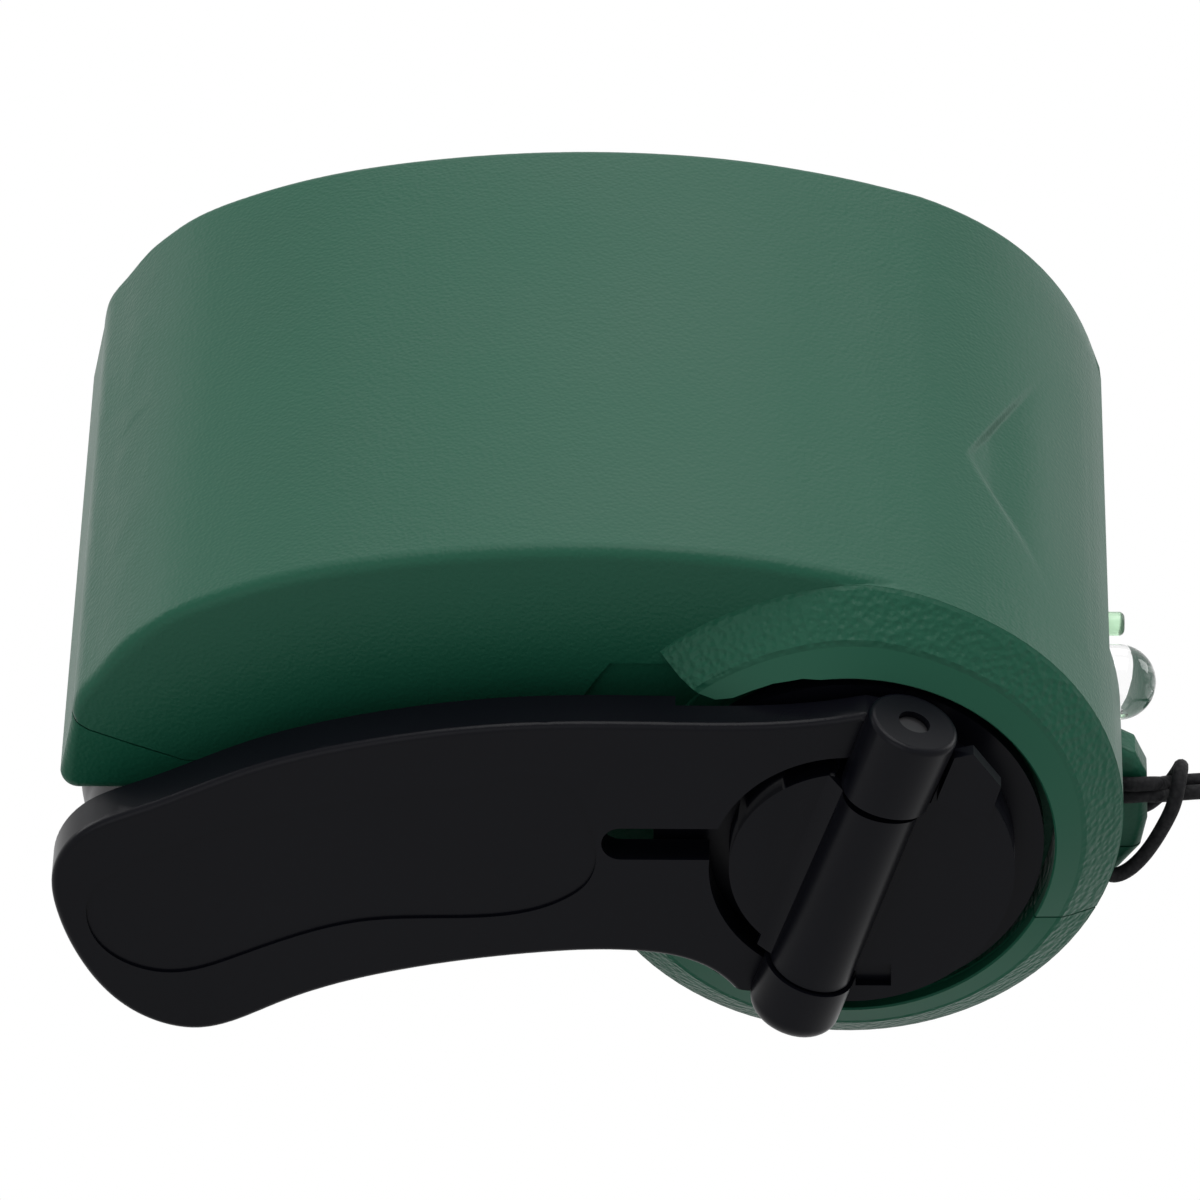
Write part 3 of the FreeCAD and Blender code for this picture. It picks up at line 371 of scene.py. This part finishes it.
greenShell = greenMaterial("greenShell", greenPlastic)
greenLower = greenMaterial("greenLower", greenPlastic)
blackCrank = plasticMaterial("blackCrank", (0.0018, 0.0020, 0.0036), (0.0026, 0.0028, 0.0046), (0.27, 0.33),
                             2600, 70, (0.05, 0.01), specular=0.09)
whiteNylon = plasticMaterial("whiteNylon", (0.72, 0.70, 0.64), (0.80, 0.79, 0.74), (0.40, 0.50),
                             2600, 120, (0.1, 0.01))
greenBoard = plasticMaterial("greenBoard", (0.010, 0.12, 0.045), (0.015, 0.16, 0.06), (0.25, 0.35),
                             5000, 200, (0.1, 0.01))
blackEpoxy = plasticMaterial("blackEpoxy", (0.012, 0.012, 0.012), (0.022, 0.022, 0.022), (0.5, 0.6),
                             6000, 300, (0.2, 0.01))
ferrite = plasticMaterial("ferrite", (0.035, 0.034, 0.033), (0.05, 0.05, 0.05), (0.6, 0.7),
                          5000, 300, (0.3, 0.02))
darkSteel = metalMaterial("darkSteel", (0.030, 0.030, 0.033), (0.055, 0.055, 0.058), (0.30, 0.40), 2500, 0.1)
steelPlated = metalMaterial("steelPlated", (0.52, 0.53, 0.55), (0.62, 0.62, 0.63), (0.22, 0.32), 2500, 0.1)
zincCan = metalMaterial("zincCan", (0.45, 0.46, 0.47), (0.58, 0.58, 0.57), (0.30, 0.42), 1500, 0.15)
bronzeBush = metalMaterial("bronzeBush", (0.50, 0.34, 0.15), (0.62, 0.43, 0.20), (0.40, 0.50), 3000, 0.3)
brightBrass = metalMaterial("brightBrass", (0.72, 0.55, 0.25), (0.80, 0.63, 0.33), (0.20, 0.30), 2500, 0.1)
copperWire = metalMaterial("copperWire", (0.45, 0.16, 0.06), (0.62, 0.26, 0.11), (0.30, 0.40), 4500, 0.5)


def clearMaterial(name, tint, rough):
    material, tree, shader = startMaterial(name)
    grain = addNode(tree, "ShaderNodeGroup", node_tree=grainGroup)
    grain.inputs["Cell Scale"].default_value = 1200
    grain.inputs["Cloud Scale"].default_value = 250
    roughRange(tree, grain.outputs["Clouds"], rough[0], rough[1], shader.inputs["Roughness"])
    setShader(shader, {"Base Color": (*tint, 1), "Transmission Weight": 1.0, "IOR": 1.5})
    return material


clearLens = clearMaterial("clearLens", (1.0, 1.0, 1.0), (0.01, 0.03))
paleGreenPipe = clearMaterial("paleGreenPipe", (0.60, 0.90, 0.62), (0.25, 0.35))


def braidMaterial():
    # fine plaited yarns that darken between them
    material, tree, shader = startMaterial("braidedCord")
    shader.inputs["Specular IOR Level"].default_value = 0.15
    link = tree.links.new
    place = addNode(tree, "ShaderNodeTexCoord")
    yarns = addNode(tree, "ShaderNodeTexVoronoi", feature="F1")
    yarns.inputs["Scale"].default_value = 2600
    fuzz = addNode(tree, "ShaderNodeTexNoise")
    fuzz.inputs["Scale"].default_value = 6000
    link(place.outputs["Object"], yarns.inputs["Vector"])
    link(place.outputs["Object"], fuzz.inputs["Vector"])
    tintRamp(tree, yarns.outputs["Distance"], (0.012, 0.012, 0.013), (0.002, 0.002, 0.003),
             shader.inputs["Base Color"])
    roughRange(tree, fuzz.outputs["Fac"], 0.65, 0.8, shader.inputs["Roughness"])
    rise = addNode(tree, "ShaderNodeBump")
    rise.inputs["Strength"].default_value = 0.8
    rise.inputs["Distance"].default_value = 0.08 * mm
    rise.invert = True
    link(yarns.outputs["Distance"], rise.inputs["Height"])
    link(rise.outputs["Normal"], shader.inputs["Normal"])
    return material


braidedCord = braidMaterial()
print("materials ready")

finishes = {
    greenShell: ("upper_shell",),
    greenLower: ("lower_shell",),
    blackCrank: ("crank_disc", "crank_arm", "knob"),
    darkSteel: ("hinge_pin",),
    steelPlated: ("knob_screw", "crank_shaft", "shaft_clip", "idler_axles", "rotor_shaft",
                  "generator_screws", "housing_screws", "usb_shell"),
    zincCan: ("generator_can", "generator_cap"),
    bronzeBush: ("front_bush", "rear_bush", "rotor_bearing"),
    whiteNylon: ("drive_gear", "idler_gear_1", "idler_gear_2", "gear_plate", "usb_tongue"),
    brightBrass: ("rotor_pinion", "usb_contacts"),
    ferrite: ("generator_magnets",),
    copperWire: ("rotor_core", "commutator", "generator_brushes"),
    greenBoard: ("circuit_board",),
    blackEpoxy: ("regulator_chip", "smoothing_capacitor", "inductor"),
    clearLens: ("led_lens",),
    paleGreenPipe: ("charge_indicator",),
    braidedCord: ("lanyard_hitch", "lanyard_strands", "lanyard_coil", "lanyard_knot"),
}
for finish, names in finishes.items():
    for name in names:
        nodes[name].data.materials.clear()
        nodes[name].data.materials.append(finish)

for piece in lanyardPieces:
    piece.data.materials.append(braidedCord)


# mm and degrees; places are in the drawn frame, about the crank's axis, unless a note says otherwise
hub = {"at": (15.395, -24.2, 17.8), "lean": 6.077}                       # final frame
hinge = {
    "at": (15.395, -24.8, 17.8), "lean": 12.423,                         # final frame
    "barrel": 2.75, "barrelEnd": 6.8,                                    # radius, and place along the hinge
    "knuckle": 3.0, "knuckleEnd": 7.0,
    "near": (0.12, 0.1),                                                 # how near a point of the end lies
    "turn": 1.0,                                                         # of the wave, radians
    "barrelDrop": (0.15, 0.35, 0.06), "knuckleRise": (0.25, 0.03),
}
crown = {
    # centre, width and height of each hump
    "hubRise": (1.2, 3.6, 0.50), "hubFrom": 13.5, "hubEase": 3.5,
    "leftRise": (-47.2, 0.9, 0.42), "leftDrop": (-50.6, 1.2, -0.75), "leftIn": (-50.8, 0.6, 0.45),
    "leftFrom": 4.6, "leftEase": 2.4,
}
ending = {"from": 47.5, "back": 52.0, "pull": 0.75, "left": 4.0, "ease": 13.0, "flat": 17.0, "lean": 0.25}
frontWall = {"at": 5.98, "ahead": 5.95, "edge": 6.05, "reach": 18.5}
facet = {"left": 4, "low": -2, "front": 13, "back": 42}
meshing = {"merge": 0.004, "flat": 0.25, "smooth": 25, "crisp": 8, "evenWeight": 50}


def deselectAll():
    bpy.ops.object.select_all(action="DESELECT")


def drawnPlace(point):
    # x, y, z in mm about the crank's axis, with the part's lean taken out
    turn = math.radians(hub["lean"])
    x, y, z = (c / mm - h for c, h in zip(point, hub["at"]))
    return x * math.cos(turn) + z * math.sin(turn), y, z * math.cos(turn) - x * math.sin(turn)


def finalPlace(x, y, z):
    # the other way from drawnPlace, in metres
    turn = math.radians(hub["lean"])
    ax, ay, az = hub["at"]
    return Vector(((x * math.cos(turn) - z * math.sin(turn) + ax) * mm, (y + ay) * mm,
                   (x * math.sin(turn) + z * math.cos(turn) + az) * mm))


def hingePlace(point):
    # distance along the hinge, distance from it, and angle round it
    turn = math.radians(hinge["lean"])
    along, side = Vector((math.sin(turn), 0, math.cos(turn))), Vector((math.cos(turn), 0, -math.sin(turn)))
    reach = Vector(c / mm - h for c, h in zip(point, hinge["at"]))
    s = reach.dot(along)
    away = reach - along * s
    return s, away.length, math.atan2(away.y, away.dot(side)), along, away


def hump(x, centre, width, height):
    return height * math.exp(-((x - centre) / width) ** 2 / 2)


def rampUp(value, start, width):
    return min(1.0, max(0.0, (value - start) / width))


def fairCrown(piece):
    # the arch runs into the hub and down to the left end in one even curve
    for vertex in piece.data.vertices:
        x, y, z = drawnPlace(vertex.co)
        left = rampUp(z, crown["leftFrom"], crown["leftEase"])
        lift = hump(x, *crown["hubRise"]) * rampUp(z, crown["hubFrom"], crown["hubEase"])
        lift += (hump(x, *crown["leftRise"]) + hump(x, *crown["leftDrop"])) * left
        vertex.co.z += lift * mm
        vertex.co.x += hump(x, *crown["leftIn"]) * left * mm


def roundEnd(piece):
    # the right end's flat runs on over the back edge, which is rounder there
    for vertex in piece.data.vertices:
        x, y, z = drawnPlace(vertex.co)
        if y > ending["from"] and x > ending["left"]:
            share = ((y - ending["from"]) / (ending["back"] - ending["from"])) ** 2
            pull = ending["pull"] * share * min(1.0, (x - ending["left"]) / ending["ease"]) ** 2
            x -= pull * x / math.hypot(x, z)
            z -= pull * z / math.hypot(x, z)
            vertex.co = finalPlace(min(x, ending["flat"] - ending["lean"] * share), y, z)


def flattenCollar(piece):
    # the collar is modelled on its own, so the shell's front wall lies flat under it
    for vertex in piece.data.vertices:
        if vertex.co.y / mm - hub["at"][1] < frontWall["ahead"]:
            vertex.co.y = (hub["at"][1] + frontWall["at"]) * mm


def shapeShell(piece):
    flattenCollar(piece)
    roundEnd(piece)
    fairCrown(piece)


def waveShare(angle, sign):
    return (1 + sign * math.cos(2 * angle - hinge["turn"])) / 2


def isEnd(s, r, end, radius):
    return abs(s - end) < hinge["near"][0] and abs(r - radius) < hinge["near"][1]


def waveBarrel(piece):
    # the barrel's end under the top knuckle is wavy and drawn in
    least, more, inward = hinge["barrelDrop"]
    for vertex in piece.data.vertices:
        s, r, angle, along, away = hingePlace(vertex.co)
        if isEnd(s, r, hinge["barrelEnd"], hinge["barrel"]):
            vertex.co -= (along * (least + more * waveShare(angle, 1)) + away * inward) * mm


def waveKnuckle(piece):
    # and so is the knuckle's end above it
    rise, inward = hinge["knuckleRise"]
    for vertex in piece.data.vertices:
        s, r, angle, along, away = hingePlace(vertex.co)
        if isEnd(s, r, hinge["knuckleEnd"], hinge["knuckle"]):
            vertex.co += (along * rise * waveShare(angle, -1) - away * inward) * mm


def dress(piece, finish, body, node):
    piece.data.materials.clear()
    piece.data.materials.append(finish)
    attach(piece, body)
    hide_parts(node)


def smoothCopy(node, name, finish, body, shape=None, crisp=None, ring=None):
    # the node's loose triangles merged, so that its round faces shade smoothly
    piece = nodes[node].copy()
    piece.data = nodes[node].data.copy()
    for key in list(piece.keys()):
        del piece[key]
    piece.name = piece.data.name = name
    piece.parent = None
    bpy.context.scene.collection.objects.link(piece)
    deselectAll()
    piece.select_set(True)
    bpy.context.view_layer.objects.active = piece
    bpy.ops.object.mode_set(mode="EDIT")
    bpy.ops.mesh.select_all(action="SELECT")
    bpy.ops.mesh.remove_doubles(threshold=meshing["merge"] * mm)
    bpy.ops.mesh.dissolve_limited(angle_limit=math.radians(meshing["flat"]))
    if ring:
        # a ring of points across the long faces, where the back edge's rounding starts
        bpy.ops.mesh.select_all(action="SELECT")
        bpy.ops.mesh.bisect(plane_co=finalPlace(0, ring, 0), plane_no=(0, 1, 0))
    bpy.ops.object.mode_set(mode="OBJECT")
    bpy.ops.object.shade_smooth_by_angle(angle=math.radians(meshing["smooth"]))
    if crisp:
        markCrisp(piece, crisp)
    if shape:
        shape(piece)
    even = piece.modifiers.new("evenShade", "WEIGHTED_NORMAL")
    even.mode = "FACE_AREA"
    even.weight = meshing["evenWeight"]
    even.keep_sharp = True
    bpy.ops.object.modifier_apply(modifier=even.name)
    dress(piece, finish, body, node)


def markCrisp(piece, isCrisp):
    # low corners that stay crisp where the test says so
    faces = {}
    for face in piece.data.polygons:
        for key in face.edge_keys:
            faces.setdefault(key, []).append(face.normal)
    for edge in piece.data.edges:
        sides = faces.get(edge.key, [])
        if len(sides) != 2 or sides[0].length < 0.5 or sides[1].length < 0.5:
            continue
        if sides[0].angle(sides[1]) > math.radians(meshing["crisp"]):
            middle = (piece.data.vertices[edge.vertices[0]].co + piece.data.vertices[edge.vertices[1]].co) / 2
            if isCrisp(*drawnPlace(middle)):
                edge.use_edge_sharp = True


def shellCorners(x, y, z):
    # round the front wall's edge, and round the flat facet on the hub's shoulder
    onWall = y < frontWall["edge"] and x * x + z * z < frontWall["reach"] ** 2
    onFacet = x > facet["left"] and z > facet["low"] and facet["front"] < y < facet["back"]
    return onWall or onFacet


smoothCopy("upper_shell", "shellTop", greenShell, "housing", shape=shapeShell, crisp=shellCorners,
           ring=ending["from"])
smoothCopy("lower_shell", "shellBottom", greenLower, "housing", shape=shapeShell, crisp=shellCorners,
           ring=ending["from"])
smoothCopy("crank_arm", "foldingArm", blackCrank, "arm", shape=waveKnuckle)
smoothCopy("crank_disc", "turningDisc", blackCrank, "crank", shape=waveBarrel)
smoothCopy("knob", "turnedKnob", blackCrank, "handle")
smoothCopy("knob_screw", "knobScrew", steelPlated, "arm")
smoothCopy("hinge_pin", "hingePin", darkSteel, "crank")
smoothCopy("led_lens", "lampLens", clearLens, "housing")
smoothCopy("charge_indicator", "lightPipe", paleGreenPipe, "housing")
smoothCopy("usb_shell", "socketShell", steelPlated, "housing")
smoothCopy("housing_screws", "housingScrews", steelPlated, "housing")
print("smooth copies ready")


collar = {
    "sides": 192,
    "outer": 17.78, "base": 6.3, "foot": 6.0,          # radius, and places along the axis, mm
    "slope": (2.4, 2.3), "face": (1.95, 1.15), "lip": (0.12, -0.10), "well": (0.02, -3.3),
    # upper edge of what is cut away at the left, in the drawn frame
    "cut": [(-30, 14.6), (-14, 14.2), (-12.3, 13.05), (-10.9, 12.05), (-9.7, 11.5), (-8.6, 11.35),
            (-7.5, 11.65), (-6.2, 12.3), (-4.9, 12.85), (-3.0, 13.3), (-1.0, 13.3), (-1.0, -8.0),
            (-30, -8.0)],
    "parting": [(-40, 17.4), (12.5, -5.9), (14.5, -6.9), (16.1, -7.5), (40, -7.5)],
    "gap": 0.06,
    "cutterEnds": (-2, 9), "cutterReach": 40,          # how far the cutting blocks go past the collar
    "smooth": 8,                                       # degrees
}


def selectFaces(piece, test):
    bpy.ops.object.mode_set(mode="OBJECT")
    for part in (piece.data.vertices, piece.data.edges, piece.data.polygons):
        part.foreach_set("select", [False] * len(part))
    for face in piece.data.polygons:
        face.select = test(face)
    bpy.ops.object.mode_set(mode="EDIT")
    bpy.ops.mesh.select_mode(type="FACE")


def flatBlock(name, outline, start, end):
    # a flat outline in the drawn frame, carried along the axis
    deselectAll()
    bpy.ops.mesh.primitive_circle_add(vertices=len(outline), radius=mm, fill_type="NGON")
    piece = bpy.context.active_object
    piece.name = name
    for vertex, (x, z) in zip(piece.data.vertices, outline):
        vertex.co = finalPlace(x, start, z)
    bpy.ops.object.mode_set(mode="EDIT")
    bpy.ops.mesh.select_all(action="SELECT")
    bpy.ops.mesh.extrude_region_move(TRANSFORM_OT_translate={"value": (0, (end - start) * mm, 0)})
    bpy.ops.mesh.select_all(action="SELECT")
    bpy.ops.mesh.normals_make_consistent(inside=False)
    bpy.ops.object.mode_set(mode="OBJECT")
    return piece


def cutWith(piece, cutter, operation):
    deselectAll()
    piece.select_set(True)
    bpy.context.view_layer.objects.active = piece
    cut = piece.modifiers.new("cut", "BOOLEAN")
    cut.object, cut.operation, cut.solver = cutter, operation, "EXACT"
    bpy.ops.object.modifier_apply(modifier=cut.name)
    bpy.data.objects.remove(cutter)


def makeCollar(name, values, side, finish, node):
    # a disc whose front is inset in steps: slope, face, lip, well
    deselectAll()
    depth = values["base"] - values["foot"]
    at = finalPlace(0, (values["base"] + values["foot"]) / 2, 0)
    bpy.ops.mesh.primitive_cylinder_add(vertices=values["sides"], radius=values["outer"] * mm,
                                        depth=depth * mm, location=at, rotation=(math.pi / 2, 0, 0))
    piece = bpy.context.active_object
    piece.name = piece.data.name = name
    bpy.ops.object.transform_apply(location=True, rotation=True, scale=True)
    selectFaces(piece, lambda face: face.normal.y < -0.9)
    for step in ("slope", "face", "lip", "well"):
        across, out = values[step]
        bpy.ops.mesh.inset(thickness=across * mm, depth=out * mm)
    bpy.ops.object.mode_set(mode="OBJECT")
    start, end = values["cutterEnds"]
    cutWith(piece, flatBlock("cutAway", values["cut"], start, end), "DIFFERENCE")
    line = [(x, z + side * values["gap"]) for x, z in values["parting"]]
    reach = values["cutterReach"]
    block = flatBlock("half", line + [(reach, reach * side), (-reach, reach * side)], start, end)
    cutWith(piece, block, "INTERSECT")
    bpy.ops.object.shade_smooth_by_angle(angle=math.radians(values["smooth"]))
    if side > 0:
        fairCrown(piece)
    dress(piece, finish, "housing", node)


# 1 keeps what is above the parting line, -1 what is below it
makeCollar("collarTop", collar, 1, greenShell, "upper_shell")
makeCollar("collarLow", collar, -1, greenLower, "lower_shell")
print("collar ready")


shoulder = {
    "radius": 17.83, "thickness": 0.4,
    "from": 25.0, "to": 74.0, "front": 8.5, "back": 45.0,      # degrees round the hub, mm along it
    "rows": (100, 190),
    "corner": (65.7, 23.3),                                    # the V's point
    "legs": (2.21, -1.525),                                    # rise along the hub for each mm round it
    "dent": (58.0, 5.5, 0.40),                                 # where it is deepest, spread, depth
    "soft": (0.45, 1.0),                                       # width of the step down from each leg
    "fade": 0.14, "sink": 0.09,                                # share of the skin that runs out at its edge
    "flat": 17.132, "flatMiddle": 49.95,                       # how near the axis the facet under it lies
    "clear": 0.04, "share": 0.85,                              # of the room over that facet
    "smooth": 40,
}


def pressedDepth(values, angle, y):
    # inside the V, with a soft step along each leg, and never down to the facet under the skin
    corner, cornerY = values["corner"]
    upperRise, lowerRise = values["legs"]
    down = values["radius"] * math.radians(corner - angle)
    upper = (cornerY + upperRise * down - y) / math.hypot(1, upperRise)
    lower = (y - cornerY - lowerRise * down) / math.hypot(1, lowerRise)
    step = min(1.0, max(0.0, min(upper / values["soft"][0], lower / values["soft"][1])))
    room = values["radius"] - values["clear"]
    room -= values["flat"] / math.cos(math.radians(angle - values["flatMiddle"]))
    press = min(values["share"] * max(0.0, room), hump(angle, *values["dent"]))
    return press * step * step * (3 - 2 * step)


def makeShoulder(values):
    # a thin skin over the hub's shoulder with the shallow V pressed in it
    deselectAll()
    across, along = values["rows"]
    bpy.ops.mesh.primitive_grid_add(x_subdivisions=across, y_subdivisions=along, size=2)
    piece = bpy.context.active_object
    piece.name = piece.data.name = "shoulderSkin"
    for vertex in piece.data.vertices:
        across, along = (vertex.co.x + 1) / 2, (vertex.co.y + 1) / 2
        angle = values["to"] + (values["from"] - values["to"]) * across
        y = values["front"] + (values["back"] - values["front"]) * along
        edge = min(1.0, min(across, along, 1 - across, 1 - along) / values["fade"])
        r = values["radius"] - pressedDepth(values, angle, y) - values["sink"] * (1 - edge) ** 2
        vertex.co = finalPlace(r * math.cos(math.radians(angle)), y, r * math.sin(math.radians(angle)))
    bpy.ops.object.mode_set(mode="EDIT")
    bpy.ops.mesh.select_all(action="SELECT")
    bpy.ops.mesh.normals_make_consistent(inside=False)
    bpy.ops.object.mode_set(mode="OBJECT")
    if piece.data.polygons[0].normal.x + piece.data.polygons[0].normal.z < 0:
        piece.data.flip_normals()
    fairCrown(piece)
    skin = piece.modifiers.new("skin", "SOLIDIFY")
    skin.thickness, skin.offset = values["thickness"] * mm, -1
    bpy.ops.object.modifier_apply(modifier=skin.name)
    bpy.ops.object.shade_smooth_by_angle(angle=math.radians(values["smooth"]))
    dress(piece, greenShell, "housing", "upper_shell")


makeShoulder(shoulder)
print("shoulder ready")


studio = {
    "floorSize": 3.0,
    "lamps": {
        "overheadPanel": {"place": (0.0, 0.10, 0.80), "size": 0.6, "power": 4.6},
        "behindPanel": {"place": (0.0, 0.85, 0.62), "size": 0.6, "power": 1.8},
        "frontFill": {"place": (-0.5, -0.9, 0.5), "size": 0.8, "power": 2.0},
        "leftRim": {"place": (-0.75, 0.50, 0.30), "size": 0.4, "power": 1.8},
        "rightRim": {"place": (0.75, 0.50, 0.30), "size": 0.4, "power": 1.8},
    },
    "aim": (0, 0, 0.02),
    "world": 0.45,
}


def backdropRays(tree):
    # rays that see the background itself: straight, mirrored or through something clear
    rays = addNode(tree, "ShaderNodeLightPath")
    first = addNode(tree, "ShaderNodeMath", operation="MAXIMUM")
    both = addNode(tree, "ShaderNodeMath", operation="MAXIMUM")
    tree.links.new(rays.outputs["Is Camera Ray"], first.inputs[0])
    tree.links.new(rays.outputs["Is Transmission Ray"], first.inputs[1])
    tree.links.new(first.outputs[0], both.inputs[0])
    tree.links.new(rays.outputs["Is Glossy Ray"], both.inputs[1])
    return both.outputs[0]


def makeFloor(size):
    deselectAll()
    bpy.ops.mesh.primitive_plane_add(size=size, location=(0, 0, 0))
    floor = bpy.context.active_object
    floor.name = "floorSheet"
    material, tree, shader = startMaterial("whiteSweep")
    out = tree.nodes["Material Output"]
    setShader(shader, {"Base Color": (0.85, 0.85, 0.85, 1), "Roughness": 0.8})
    glow = addNode(tree, "ShaderNodeEmission")
    glow.inputs["Strength"].default_value = 1.0
    mix = addNode(tree, "ShaderNodeMixShader")
    tree.links.new(backdropRays(tree), mix.inputs[0])
    tree.links.new(shader.outputs[0], mix.inputs[1])
    tree.links.new(glow.outputs[0], mix.inputs[2])
    tree.links.new(mix.outputs[0], out.inputs["Surface"])
    floor.data.materials.append(material)


def makeLamp(name, values):
    data = bpy.data.lights.new(name, "AREA")
    data.shape = "SQUARE"
    data.size = values["size"]
    data.energy = values["power"]
    lamp = bpy.data.objects.new(name, data)
    lamp.location = values["place"]
    aim = Vector(studio["aim"]) - Vector(values["place"])
    lamp.rotation_euler = aim.to_track_quat("-Z", "Y").to_euler()
    bpy.context.scene.collection.objects.link(lamp)


def makeWorld(strength):
    world = bpy.data.worlds.new("studioWorld")
    world.use_nodes = True
    bpy.context.scene.world = world
    tree = world.node_tree
    back = tree.nodes["Background"]
    back.inputs["Color"].default_value = (1, 1, 1, 1)
    level = addNode(tree, "ShaderNodeMapRange")
    level.inputs["To Min"].default_value = strength
    level.inputs["To Max"].default_value = 1.0
    tree.links.new(backdropRays(tree), level.inputs["Value"])
    tree.links.new(level.outputs["Result"], back.inputs["Strength"])


makeFloor(studio["floorSize"])
for lampName, lampValues in studio["lamps"].items():
    makeLamp(lampName, lampValues)
makeWorld(studio["world"])
bpy.context.scene.view_settings.view_transform = "Standard"
print("studio ready")
